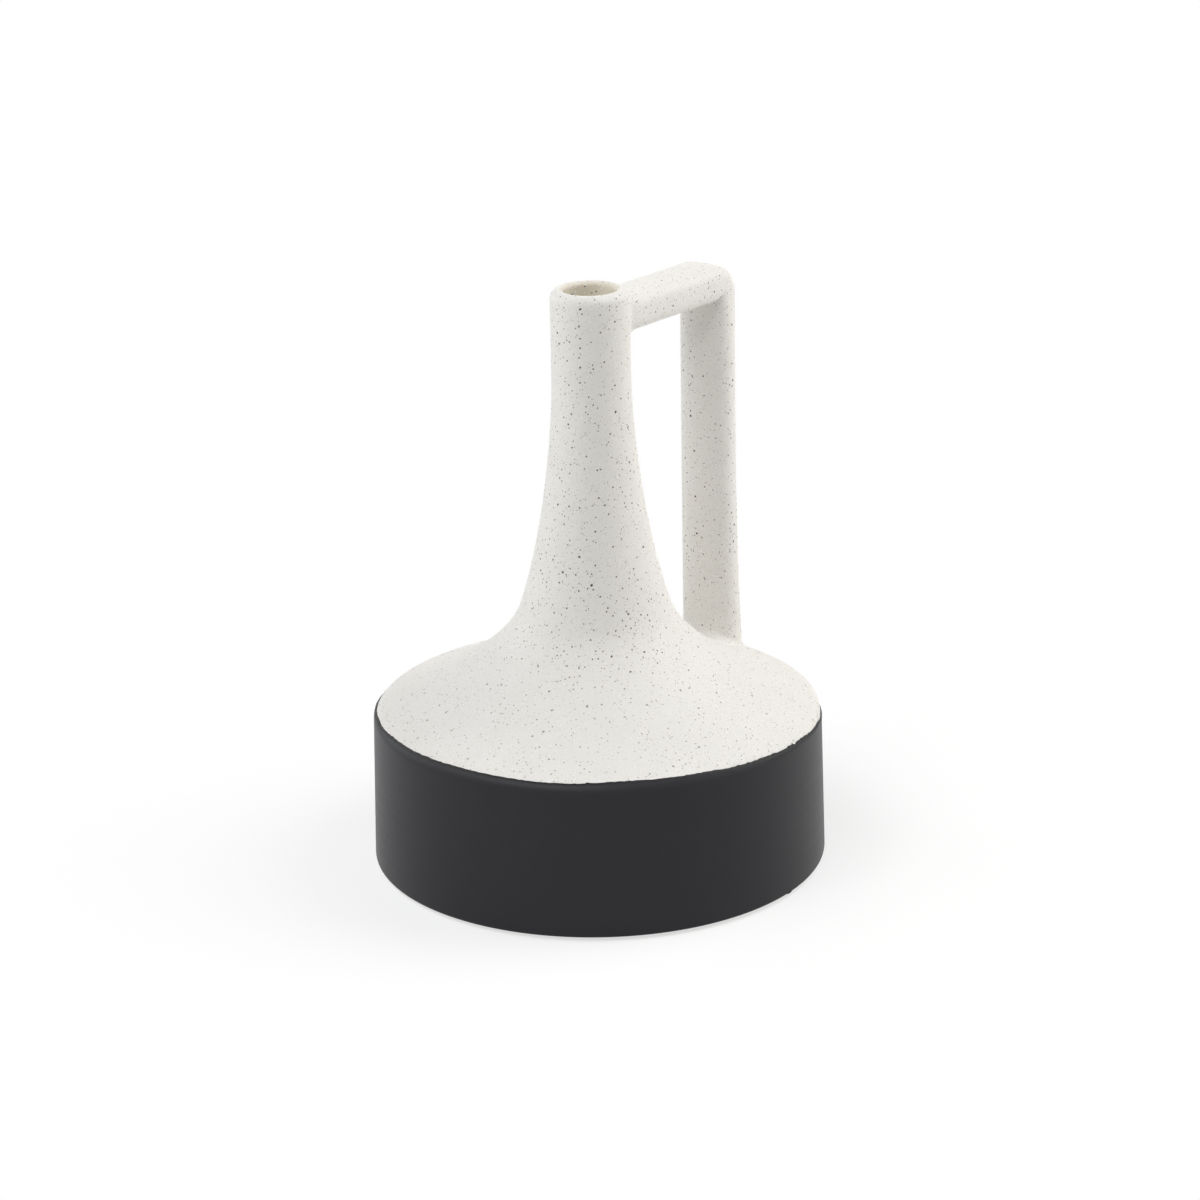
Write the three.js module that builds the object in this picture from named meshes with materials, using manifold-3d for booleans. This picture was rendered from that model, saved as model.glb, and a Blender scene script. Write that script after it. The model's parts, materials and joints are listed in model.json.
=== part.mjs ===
// A stoneware jug vase: a low hollow drum, a shoulder that sweeps up into a long neck,
// and a square-cornered bar handle from the neck down to the shoulder.
// Millimetres, +Z up. The axis of the drum is the Z axis and the resting plane is z = 0.
// The front is at -Y. Radii and heights below are of the fired clay, and heights are
// above the drum's underside, which the foot pads hold clear of the resting plane.

import * as THREE from 'three';
import { mergeVertices } from 'three/addons/utils/BufferGeometryUtils.js';
import Module from 'manifold-3d';

const wasm = await Module();
wasm.setup();

const degree = Math.PI / 180;

// Drum: a round floor slab with an upright wall that leans in a little. The radius is
// that of the wall's top, and the foot is wider by the spread.
const drumRadius = 88;
const footSpread = 1.4;
const wallTopHeight = 57.4;
const floorThickness = 7;
const floorEdgeChamfer = 0.4;
const drumWallThickness = 6;

// Shoulder: a rounded rim, then one curve up to the waist where the neck begins.
const rimRound = 4.1;
const shoulderSlope = 14 * degree;
const shoulderPullAtRim = 19.5;
const shoulderPullAtWaist = 17.2;
const waistRadius = 30.1;
const waistHeight = 101;
const waistSteepness = 70 * degree;

// Neck: one curve from the waist to a straight collar, which ends in a rounded lip.
const neckPullAtWaist = 24.7;
const neckPullAtCollar = 31.4;
const collarRadius = 15.3;
const collarHeight = 197.5;
const mouthHeight = 229.1;
const potWallThickness = 5.2;
const lipOuterRound = 3.4;
const lipInnerRound = 1.8;

// Handle: one bar, level and then straight down. Its section is an oblong with soft edges
// on the bridge. Through the corner and below it the section settles to a rounder one
// that is a little twisted, and it flares at the foot.
const handleAzimuth = 51.3 * degree;
const handleInset = 5.5;
const bridgeDrop = 12.05;
const bridgeWidth = 21.8;
const bridgeThickness = 14.8;
const bridgeNearSquareness = 3.6;
const bridgeFarSquareness = 3.4;
const uprightWidth = 22;
const uprightThickness = 15.4;
const uprightSquareness = 2.4;
const uprightTwist = 18 * degree;
const footWidth = 24;
const footThickness = 18;
const footShift = 1.8;
const footFlarePower = 3;
const settleDrop = 12;
const settledInBend = 0.6;
const barCornerRound = 5.2;
const sharpCornerRound = 0.3;
const bridgeTopFillet = 4.5;
const bridgeUnderFillet = 5;
const footFillet = 3.5;
const footEmbed = 10;
const seamDrop = 2;
const jointGap = 0.3;

// Black glaze on the drum: a hard coat with a raised upper edge that runs unevenly
// round the rim. The cover is how far up the rim's rounding the coat reaches.
const glazeThickness = 0.5;
const glazeClearance = 0.1;
const glazeEdgeRise = 0.3;
const glazeCoverLow = 8 * degree;
const glazeCoverHigh = 76 * degree;
const glazeHighAzimuth = -125 * degree;
const glazeEdgeTaper = 3 * degree;

// Stick-on foot pads.
const padCount = 4;
const padSide = 16;
const padCornerRound = 3;
const padThickness = 1.5;
const padInset = 16;
const firstPadAzimuth = -38 * degree;

// Fineness of the faceted surfaces.
const turnSegments = 60;
const rimSteps = 5;
const flareSteps = 10;
const lipSteps = 5;
const barSectionPoints = 24;
const cornerSteps = 6;
const filletSteps = 4;
const footFlareSteps = 5;
const coatRimSteps = 6;
const searchSteps = 30;

const materials = {
  paleGlaze: new THREE.MeshStandardMaterial({ color: '#e6e5e0', roughness: 0.55, metalness: 0 }),
  blackGlaze: new THREE.MeshStandardMaterial({ color: '#38393b', roughness: 0.6, metalness: 0 }),
  bareClay: new THREE.MeshStandardMaterial({ color: '#cbb79b', roughness: 0.9, metalness: 0 }),
  padFelt: new THREE.MeshStandardMaterial({ color: '#2b2a29', roughness: 0.95, metalness: 0 }),
};

// A closed geometry as a solid, with its shared vertices merged and empty faces dropped.
function solidOf(geometry) {
  const bare = geometry.clone();
  bare.deleteAttribute('normal');
  bare.deleteAttribute('uv');
  const merged = mergeVertices(bare);
  const corners = merged.index.array;
  const kept = [];
  for (let i = 0; i < corners.length; i += 3) {
    const [a, b, c] = corners.slice(i, i + 3);
    if (a !== b && b !== c && c !== a) {
      kept.push(a, b, c);
    }
  }
  return new wasm.Manifold(new wasm.Mesh({
    numProp: 3,
    vertProperties: new Float32Array(merged.attributes.position.array),
    triVerts: new Uint32Array(kept),
  }));
}

// A solid as a geometry again.
function geometryOf(solid) {
  const mesh = solid.getMesh();
  const geometry = new THREE.BufferGeometry();
  geometry.setAttribute('position', new THREE.BufferAttribute(mesh.vertProperties, 3));
  geometry.setIndex(new THREE.BufferAttribute(mesh.triVerts, 1));
  geometry.computeVertexNormals();
  return geometry;
}

function meshOf(name, solid, material) {
  const mesh = new THREE.Mesh(geometryOf(solid), material);
  mesh.name = name;
  return mesh;
}

// A profile of (radius, height) points turned about the Z axis. A profile that does not
// start on the axis is closed on itself. It runs up on the outside.
function turned(profile) {
  const onAxis = profile[0].x === 0;
  const points = onAxis ? profile : [...profile, profile[0]];
  return solidOf(new THREE.LatheGeometry(points, turnSegments).rotateX(Math.PI / 2));
}

// A closed skin through rings of points that all have the same number of points. The
// rings run along the skin, and each ring turns by the right-hand rule about that way.
function ringFaces(ringCount, ringSize, closed) {
  const faces = [];
  const spans = closed ? ringCount : ringCount - 1;
  for (let k = 0; k < spans; k += 1) {
    const next = (k + 1) % ringCount;
    for (let i = 0; i < ringSize; i += 1) {
      const j = (i + 1) % ringSize;
      const a = k * ringSize + i;
      const b = k * ringSize + j;
      const c = next * ringSize + j;
      const d = next * ringSize + i;
      faces.push(a, b, c, a, c, d);
    }
  }
  return faces;
}

function skinGeometry(points, faces) {
  const geometry = new THREE.BufferGeometry().setFromPoints(points);
  geometry.setIndex(faces);
  return geometry;
}

// The outline of the ware in (radius, height), from the foot up to the crest of the lip.

const footRadius = drumRadius + footSpread;
const wallLean = Math.atan2(footSpread, wallTopHeight);

function wallRadiusAt(height) {
  return footRadius - height * Math.tan(wallLean);
}

function polar(angle, length) {
  return new THREE.Vector2(Math.cos(angle) * length, Math.sin(angle) * length);
}

const wallTop = new THREE.Vector2(drumRadius, wallTopHeight);
const rimCentre = wallTop.clone().sub(polar(wallLean, rimRound));
const shoulderNormal = Math.PI / 2 - shoulderSlope;
const rimEnd = rimCentre.clone().add(polar(shoulderNormal, rimRound));
const waist = new THREE.Vector2(waistRadius, waistHeight);
const collar = new THREE.Vector2(collarRadius, collarHeight);

function arcPoints(centre, radius, from, to, steps) {
  const points = [];
  for (let i = 0; i <= steps; i += 1) {
    points.push(centre.clone().add(polar(from + (to - from) * i / steps, radius)));
  }
  return points;
}

const shoulderWay = polar(Math.PI - shoulderSlope, 1);
const waistWay = polar(Math.PI - waistSteepness, 1);
const shoulderCurve = new THREE.CubicBezierCurve(
  rimEnd,
  rimEnd.clone().addScaledVector(shoulderWay, shoulderPullAtRim),
  waist.clone().addScaledVector(waistWay, -shoulderPullAtWaist),
  waist,
);
const neckCurve = new THREE.CubicBezierCurve(
  waist,
  waist.clone().addScaledVector(waistWay, neckPullAtWaist),
  new THREE.Vector2(collarRadius, collarHeight - neckPullAtCollar),
  collar,
);

const boreRadius = collarRadius - potWallThickness;
const outerLip = Math.min(lipOuterRound, potWallThickness - lipInnerRound);
const lipCentre = new THREE.Vector2(collarRadius - outerLip, mouthHeight - outerLip);
const lipInnerCentre = new THREE.Vector2(boreRadius + lipInnerRound, mouthHeight - lipInnerRound);

const rimArc = arcPoints(rimCentre, rimRound, wallLean, shoulderNormal, rimSteps);
const shoulderPoints = shoulderCurve.getPoints(flareSteps);
const neckPoints = neckCurve.getPoints(flareSteps);
const lipArc = arcPoints(lipCentre, outerLip, 0, Math.PI / 2, lipSteps);
const lipInnerArc = arcPoints(lipInnerCentre, lipInnerRound, Math.PI / 2, Math.PI, lipSteps);

const outline = [
  new THREE.Vector2(footRadius, 0),
  ...rimArc,
  ...shoulderPoints.slice(1),
  ...neckPoints.slice(1),
  ...lipArc,
];

// The outline moved outwards by a distance, or inwards where it is negative. Outwards is
// to the right of the outline's way.
function offsetOutline(points, distance) {
  return points.map((point, i) => {
    const before = points[Math.max(i - 1, 0)];
    const after = points[Math.min(i + 1, points.length - 1)];
    const way = after.clone().sub(before).normalize();
    return new THREE.Vector2(point.x + way.y * distance, point.y - way.x * distance);
  });
}

// The height of a point above the ware's surface, and the surface's normal there.
function aboveSurface(point) {
  const place = new THREE.Vector2(Math.hypot(point.x, point.y), point.z);
  let best = { distance: Infinity };
  for (let i = 0; i + 1 < outline.length; i += 1) {
    const start = outline[i];
    const side = outline[i + 1].clone().sub(start);
    const along = place.clone().sub(start).dot(side) / side.lengthSq();
    const nearest = start.clone().addScaledVector(side, THREE.MathUtils.clamp(along, 0, 1));
    const apart = place.clone().sub(nearest);
    const outside = Math.sign(side.y * apart.x - side.x * apart.y) || 1;
    if (apart.length() < Math.abs(best.distance)) {
      best = { distance: outside * apart.length(), normal: apart.normalize().multiplyScalar(outside) };
    }
  }
  const azimuth = Math.atan2(point.y, point.x);
  const { x: outwards, y: upwards } = best.normal;
  return {
    distance: best.distance,
    normal: new THREE.Vector3(outwards * Math.cos(azimuth), outwards * Math.sin(azimuth), upwards),
  };
}

// Drum.

function baseSlab() {
  return turned([
    new THREE.Vector2(0, 0),
    new THREE.Vector2(wallRadiusAt(floorEdgeChamfer) - floorEdgeChamfer, 0),
    new THREE.Vector2(wallRadiusAt(floorEdgeChamfer), floorEdgeChamfer),
    new THREE.Vector2(wallRadiusAt(floorThickness), floorThickness),
    new THREE.Vector2(0, floorThickness),
  ]);
}

function drumWall() {
  return turned([
    new THREE.Vector2(wallRadiusAt(floorThickness) - drumWallThickness, floorThickness),
    new THREE.Vector2(wallRadiusAt(floorThickness), floorThickness),
    wallTop,
    new THREE.Vector2(drumRadius - drumWallThickness, wallTopHeight),
  ]);
}

// Shoulder and neck are one wall thickness throughout and part at the waist's height.

const flareInside = offsetOutline([...shoulderPoints, ...neckPoints.slice(1)], -potWallThickness);

function insideAtHeight(height) {
  const i = flareInside.findIndex((point) => point.y > height);
  const below = flareInside[i - 1];
  const above = flareInside[i];
  return below.clone().lerp(above, (height - below.y) / (above.y - below.y));
}

const waistInside = insideAtHeight(waistHeight);

function shoulder() {
  const seat = new THREE.Vector2(drumRadius - drumWallThickness, wallTopHeight);
  const underside = flareInside.filter((point) => (
    point.x < seat.x && point.y > seat.y && point.y < waistHeight
  ));
  return turned([
    ...rimArc,
    ...shoulderPoints.slice(1),
    waistInside,
    ...underside.reverse(),
    seat,
  ]);
}

function neck() {
  const bore = flareInside.filter((point) => point.y > waistHeight);
  return turned([
    ...neckPoints,
    ...lipArc,
    ...lipInnerArc.slice(1),
    ...bore.reverse(),
    waistInside,
  ]);
}

// Handle, in a frame whose X points out along it and whose Y runs across it. A section
// point has a place across the bar and one towards the bar's outer face.

const bridgeHeight = mouthHeight - bridgeDrop;
const handleReach = drumRadius - handleInset - uprightThickness / 2;

// Points of an oblong section, |2u/w|**n + |2v/t|**n = 1, and the normals there. The
// power n is one on the near side, where u is below zero, and another on the far side.
// The section is turned about the bar by the twist and moved outwards by the shift.
function barSection(width, thickness, nearPower, farPower, twist, shift) {
  const points = [];
  const middle = new THREE.Vector2(0, 0);
  for (let i = 0; i < barSectionPoints; i += 1) {
    const turn = 2 * Math.PI * i / barSectionPoints;
    const power = Math.cos(turn) < 0 ? nearPower : farPower;
    const bulge = (value) => Math.sign(value) * Math.abs(value) ** (2 / power);
    const u = bulge(Math.cos(turn));
    const v = bulge(Math.sin(turn));
    const point = new THREE.Vector2(u * width / 2, v * thickness / 2).rotateAround(middle, -twist);
    const normal = new THREE.Vector2(
      Math.sign(u) * Math.abs(u) ** (power - 1) / width,
      Math.sign(v) * Math.abs(v) ** (power - 1) / thickness,
    ).normalize().rotateAround(middle, -twist);
    points.push({ across: point.x, outward: point.y + shift, normal });
  }
  return points;
}

const bridgeSection = barSection(
  bridgeWidth,
  bridgeThickness,
  bridgeNearSquareness,
  bridgeFarSquareness,
  0,
  0,
);
const uprightSection = barSection(
  uprightWidth,
  uprightThickness,
  uprightSquareness,
  uprightSquareness,
  uprightTwist,
  0,
);
const footSection = barSection(
  footWidth,
  footThickness,
  uprightSquareness,
  uprightSquareness,
  uprightTwist,
  footShift,
);
const settleHeight = bridgeHeight - bridgeThickness / 2 - settleDrop;

function bridgePoint(x, across, outward) {
  return new THREE.Vector3(x, across, bridgeHeight + outward);
}

function uprightPoint(z, across, outward) {
  return new THREE.Vector3(handleReach + outward, across, z);
}

// The fillet of one section point: a ball that touches the bar and the ware rolls round
// the bar, and its arc between the two touches is the fillet. The place along the bar
// where it touches both is found by halving, between one inside and one outside the ware.
function filletArc(place, inside, outside, radius, { across, outward, normal }) {
  const centreAt = (along) => (
    place(along, across + normal.x * radius, outward + normal.y * radius)
  );
  let near = inside;
  let far = outside;
  for (let i = 0; i < searchSteps; i += 1) {
    const middle = (near + far) / 2;
    if (aboveSurface(centreAt(middle)).distance < radius) {
      near = middle;
    } else {
      far = middle;
    }
  }
  const centre = centreAt(far);
  const toBar = place(far, across, outward).sub(centre).normalize();
  const toWare = aboveSurface(centre).normal.negate();
  const opening = toBar.angleTo(toWare);
  const arc = [];
  for (let i = 0; i <= filletSteps; i += 1) {
    const share = i / filletSteps;
    const direction = toBar.clone().multiplyScalar(Math.sin((1 - share) * opening))
      .addScaledVector(toWare, Math.sin(share * opening))
      .divideScalar(Math.sin(opening));
    arc.push(centre.clone().addScaledVector(direction, radius));
  }
  return arc;
}

function bridgeFilletArc(point) {
  const mean = (bridgeTopFillet + bridgeUnderFillet) / 2;
  const swing = (bridgeTopFillet - bridgeUnderFillet) / 2;
  const radius = mean + swing * point.normal.y;
  return filletArc(bridgePoint, 0, handleReach, radius, point);
}

function footFilletArc(point) {
  return filletArc(uprightPoint, wallTopHeight, bridgeHeight, footFillet, point);
}

// Points down the upright from a settled point to one on the foot. The bar grows slowly
// at first and faster near the foot, by a power of the share of the way gone.
function flareLine(settled, foot) {
  const points = [];
  for (let i = 0; i < footFlareSteps; i += 1) {
    const share = i / footFlareSteps;
    const grown = share ** footFlarePower;
    points.push(new THREE.Vector3(
      THREE.MathUtils.lerp(settled.x, foot.x, grown),
      THREE.MathUtils.lerp(settled.y, foot.y, grown),
      THREE.MathUtils.lerp(settled.z, foot.z, share),
    ));
  }
  return points;
}

// The line of the bar through the section points of one number, from inside the neck,
// round the corner and down into the drum. Each line turns the corner about its own
// centre, so that the outer corner is round and the inner one is sharp.
function barLine(number) {
  const start = bridgeSection[number];
  const settled = uprightSection[number];
  const foot = footSection[number];
  const corner = [];
  for (let i = 0; i <= cornerSteps; i += 1) {
    const turn = Math.PI / 2 * i / cornerSteps;
    const change = settledInBend * i / cornerSteps;
    const across = THREE.MathUtils.lerp(start.across, settled.across, change);
    const outward = THREE.MathUtils.lerp(start.outward, settled.outward, change);
    const cornerRadius = Math.max(barCornerRound + outward, sharpCornerRound);
    corner.push(new THREE.Vector3(
      handleReach + outward + cornerRadius * (Math.sin(turn) - 1),
      across,
      bridgeHeight + outward + cornerRadius * (Math.cos(turn) - 1),
    ));
  }
  const footArc = footFilletArc(foot);
  return [
    bridgePoint(0, start.across, start.outward),
    ...bridgeFilletArc(start).reverse(),
    ...corner,
    ...flareLine(uprightPoint(settleHeight, settled.across, settled.outward), footArc[0]),
    ...footArc,
    uprightPoint(wallTopHeight - footEmbed, foot.across, foot.outward),
  ];
}

function handleSolid() {
  const lines = Array.from({ length: barSectionPoints }, (_, i) => barLine(i));
  const ringCount = lines[0].length;
  const points = [];
  for (let k = 0; k < ringCount; k += 1) {
    lines.forEach((line) => points.push(line[k]));
  }
  const faces = ringFaces(ringCount, barSectionPoints, false);
  const startCentre = points.push(bridgePoint(0, 0, 0)) - 1;
  const endCentre = points.push(uprightPoint(wallTopHeight - footEmbed, 0, 0)) - 1;
  const lastRing = (ringCount - 1) * barSectionPoints;
  for (let i = 0; i < barSectionPoints; i += 1) {
    const j = (i + 1) % barSectionPoints;
    faces.push(startCentre, j, i);
    faces.push(endCentre, lastRing + i, lastRing + j);
  }
  return solidOf(skinGeometry(points, faces));
}

// Everything inside the ware's surface, with the joint's gap round it.
function wareEnvelope() {
  const skin = offsetOutline(outline, jointGap);
  const crest = new THREE.Vector2(0, mouthHeight + jointGap);
  return turned([new THREE.Vector2(0, 0), ...skin, crest]);
}

const seamHeight = bridgeHeight - bridgeThickness / 2 - seamDrop;

// All of the upright's side of the handle that lies below the seam.
function belowSeam() {
  const box = new THREE.BoxGeometry(handleReach, 2 * footWidth, seamHeight);
  return solidOf(box.translate(handleReach, 0, seamHeight / 2));
}

const handleBar = handleSolid().subtract(wareEnvelope());

function handleBridge() {
  return handleBar.subtract(belowSeam());
}

function handleUpright() {
  return handleBar.intersect(belowSeam());
}

// Black glaze coat. At each azimuth its section is a thin closed band: up the outside of
// the wall and the rim's rounding, over the raised edge, and back down along the clay.
// The bands run clockwise as seen from above, in step with the facets of the clay.

const coatAngles = Array.from({ length: turnSegments }, (_, k) => (
  -Math.PI / 2 - 2 * Math.PI * k / turnSegments
));

function glazeCover(azimuth) {
  const share = (1 + Math.cos(azimuth - glazeHighAzimuth)) / 2;
  return THREE.MathUtils.lerp(glazeCoverLow, glazeCoverHigh, share);
}

function coatBand(azimuth) {
  const cover = glazeCover(azimuth);
  const outer = glazeClearance + glazeThickness;
  const band = [];
  band.push(new THREE.Vector2(wallRadiusAt(floorEdgeChamfer) + outer, floorEdgeChamfer));
  for (let i = 0; i <= coatRimSteps; i += 1) {
    const rise = i === coatRimSteps - 1 ? glazeEdgeRise : 0;
    const angle = wallLean + (cover - wallLean) * i / coatRimSteps;
    band.push(rimCentre.clone().add(polar(angle, rimRound + outer + rise)));
  }
  for (let i = coatRimSteps; i >= 0; i -= 1) {
    const taper = i === coatRimSteps ? glazeEdgeTaper : 0;
    const angle = wallLean + (cover - wallLean) * i / coatRimSteps + taper;
    band.push(rimCentre.clone().add(polar(angle, rimRound + glazeClearance)));
  }
  band.push(new THREE.Vector2(wallRadiusAt(floorEdgeChamfer) + glazeClearance, floorEdgeChamfer));
  return band;
}

function blackGlazeCoat() {
  const bands = coatAngles.map(coatBand);
  const points = [];
  bands.forEach((band, k) => {
    const azimuth = coatAngles[k];
    band.forEach(({ x: radius, y: height }) => {
      points.push(new THREE.Vector3(radius * Math.cos(azimuth), radius * Math.sin(azimuth), height));
    });
  });
  return solidOf(skinGeometry(points, ringFaces(bands.length, bands[0].length, true)));
}

// Foot pads.

function roundedSquare(side, cornerRadius) {
  const half = side / 2;
  const flat = half - cornerRadius;
  const shape = new THREE.Shape();
  shape.absarc(flat, flat, cornerRadius, 0, Math.PI / 2);
  shape.absarc(-flat, flat, cornerRadius, Math.PI / 2, Math.PI);
  shape.absarc(-flat, -flat, cornerRadius, Math.PI, 3 * Math.PI / 2);
  shape.absarc(flat, -flat, cornerRadius, 3 * Math.PI / 2, 2 * Math.PI);
  return shape;
}

function footPad() {
  const shape = roundedSquare(padSide, padCornerRound);
  const options = { depth: padThickness, bevelEnabled: false, curveSegments: 4 };
  return solidOf(new THREE.ExtrudeGeometry(shape, options));
}

// The assembly.

const vase = new THREE.Group();
const ware = new THREE.Group();
ware.position.z = padThickness;
ware.add(meshOf('base_slab', baseSlab(), materials.bareClay));
ware.add(meshOf('drum_wall', drumWall(), materials.bareClay));
ware.add(meshOf('shoulder', shoulder(), materials.paleGlaze));
ware.add(meshOf('neck', neck(), materials.paleGlaze));
ware.add(meshOf('black_glaze_coat', blackGlazeCoat(), materials.blackGlaze));

const handle = new THREE.Group();
handle.rotation.z = handleAzimuth;
handle.add(meshOf('handle_bridge', handleBridge(), materials.paleGlaze));
handle.add(meshOf('handle_upright', handleUpright(), materials.paleGlaze));
ware.add(handle);
vase.add(ware);

for (let i = 0; i < padCount; i += 1) {
  const spoke = new THREE.Group();
  spoke.rotation.z = firstPadAzimuth + 2 * Math.PI * i / padCount;
  const pad = meshOf(`foot_pad_${i + 1}`, footPad(), materials.padFelt);
  pad.position.x = footRadius - padInset;
  spoke.add(pad);
  vase.add(spoke);
}

export default vase;
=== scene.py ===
"""A stoneware jug vase, dressed around its packed construction.

The ware is a low drum in matte black glaze, a pale speckled shoulder that sweeps up into
a long open neck, and a square-cornered bar handle from the neck down to the shoulder.
Shapes are worked out in millimetres, in the construction's own frame: +Z up, the axis of
the drum on Z, the resting plane at z = 0 and the front at -Y. Meshes are in metres.
"""

from __future__ import annotations

import json
import logging
import math
from dataclasses import dataclass
from enum import Enum

import bpy
import numpy as np
from mathutils import Matrix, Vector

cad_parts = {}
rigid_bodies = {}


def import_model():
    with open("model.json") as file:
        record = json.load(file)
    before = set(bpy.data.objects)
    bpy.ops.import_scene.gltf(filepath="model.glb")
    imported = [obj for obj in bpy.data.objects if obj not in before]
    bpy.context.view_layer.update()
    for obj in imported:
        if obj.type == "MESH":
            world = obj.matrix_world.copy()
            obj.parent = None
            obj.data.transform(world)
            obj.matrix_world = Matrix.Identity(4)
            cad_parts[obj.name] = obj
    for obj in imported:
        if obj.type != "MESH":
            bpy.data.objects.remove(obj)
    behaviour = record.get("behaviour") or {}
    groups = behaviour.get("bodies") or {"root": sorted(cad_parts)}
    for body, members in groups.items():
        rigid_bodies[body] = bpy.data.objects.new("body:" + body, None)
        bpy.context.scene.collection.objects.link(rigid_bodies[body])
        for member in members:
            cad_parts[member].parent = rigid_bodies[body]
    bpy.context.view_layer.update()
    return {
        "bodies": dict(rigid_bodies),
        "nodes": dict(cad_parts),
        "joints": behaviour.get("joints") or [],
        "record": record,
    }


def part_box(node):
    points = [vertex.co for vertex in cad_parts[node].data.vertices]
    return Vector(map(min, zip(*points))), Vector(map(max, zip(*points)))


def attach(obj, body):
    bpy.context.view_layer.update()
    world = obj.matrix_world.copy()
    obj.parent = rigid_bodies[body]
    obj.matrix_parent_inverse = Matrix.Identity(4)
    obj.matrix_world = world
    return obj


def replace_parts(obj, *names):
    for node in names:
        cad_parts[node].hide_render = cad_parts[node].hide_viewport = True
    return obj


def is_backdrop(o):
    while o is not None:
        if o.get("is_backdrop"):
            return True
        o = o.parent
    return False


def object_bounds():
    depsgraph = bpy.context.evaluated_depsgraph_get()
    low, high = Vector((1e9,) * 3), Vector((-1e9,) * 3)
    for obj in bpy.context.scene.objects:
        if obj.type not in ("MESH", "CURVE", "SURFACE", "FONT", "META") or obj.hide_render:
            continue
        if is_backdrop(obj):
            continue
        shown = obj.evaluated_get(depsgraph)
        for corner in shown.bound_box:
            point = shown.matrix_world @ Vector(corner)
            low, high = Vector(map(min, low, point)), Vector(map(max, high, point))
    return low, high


LOG = logging.getLogger("jug_vase")

MM = 0.001
TINY_MM = 1e-6
FINE_TURNS = 20001

# Sockets of a colour Mix node, which share their names with its other kinds.
MIX_FACTOR, MIX_A, MIX_B, MIX_RESULT = 0, 6, 7, 2

# A noise texture seldom leaves this range.
NOISE_RANGE = (0.3, 0.7)


class Slot(Enum):
    """The record's material slots."""

    PALE_GLAZE = "pale_glaze"
    BLACK_GLAZE = "black_glaze"
    BARE_CLAY = "bare_clay"
    PAD_FELT = "pad_felt"


class Ending(Enum):
    """How the first and the last ring of a skin are closed."""

    JOINED = "joined"
    CAPPED = "capped"


class BarEnd(Enum):
    """The two ends of the handle's bar."""

    NECK = "neck"
    FOOT = "foot"


def linear_colour(code: str) -> tuple[float, float, float, float]:
    """Turns an sRGB hex colour into linear light.

    Args:
        code: The colour as #rrggbb.

    Returns:
        Red, green, blue and an alpha of 1.
    """
    shares = [int(code[i:i + 2], 16) / 255 for i in (1, 3, 5)]
    light = [c / 12.92 if c <= 0.04045 else ((c + 0.055) / 1.055) ** 2.4 for c in shares]
    return (light[0], light[1], light[2], 1.0)


def add_node(
    tree: bpy.types.NodeTree,
    kind: str,
    settings: dict | None = None,
    links: dict | None = None,
) -> bpy.types.Node:
    """Adds a node with its settings and links.

    Args:
        tree: The node tree.
        kind: The node's type.
        settings: Values by the name of a property, or by the name or index of an input.
        links: Output sockets by the name or index of the input that they feed.

    Returns:
        The new node.
    """
    node = tree.nodes.new(kind)
    for name, value in (settings or {}).items():
        if isinstance(name, str) and hasattr(node, name):
            setattr(node, name, value)
        else:
            node.inputs[name].default_value = value
    for name, source in (links or {}).items():
        tree.links.new(source, node.inputs[name])
    return node


def new_material(name: str) -> tuple[bpy.types.Material, bpy.types.NodeTree]:
    """Makes an empty node material.

    Args:
        name: The material's name.

    Returns:
        The material and its node tree.
    """
    material = bpy.data.materials.new(name)
    material.use_nodes = True
    material.node_tree.nodes.clear()
    return material, material.node_tree


# Finishes


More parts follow.
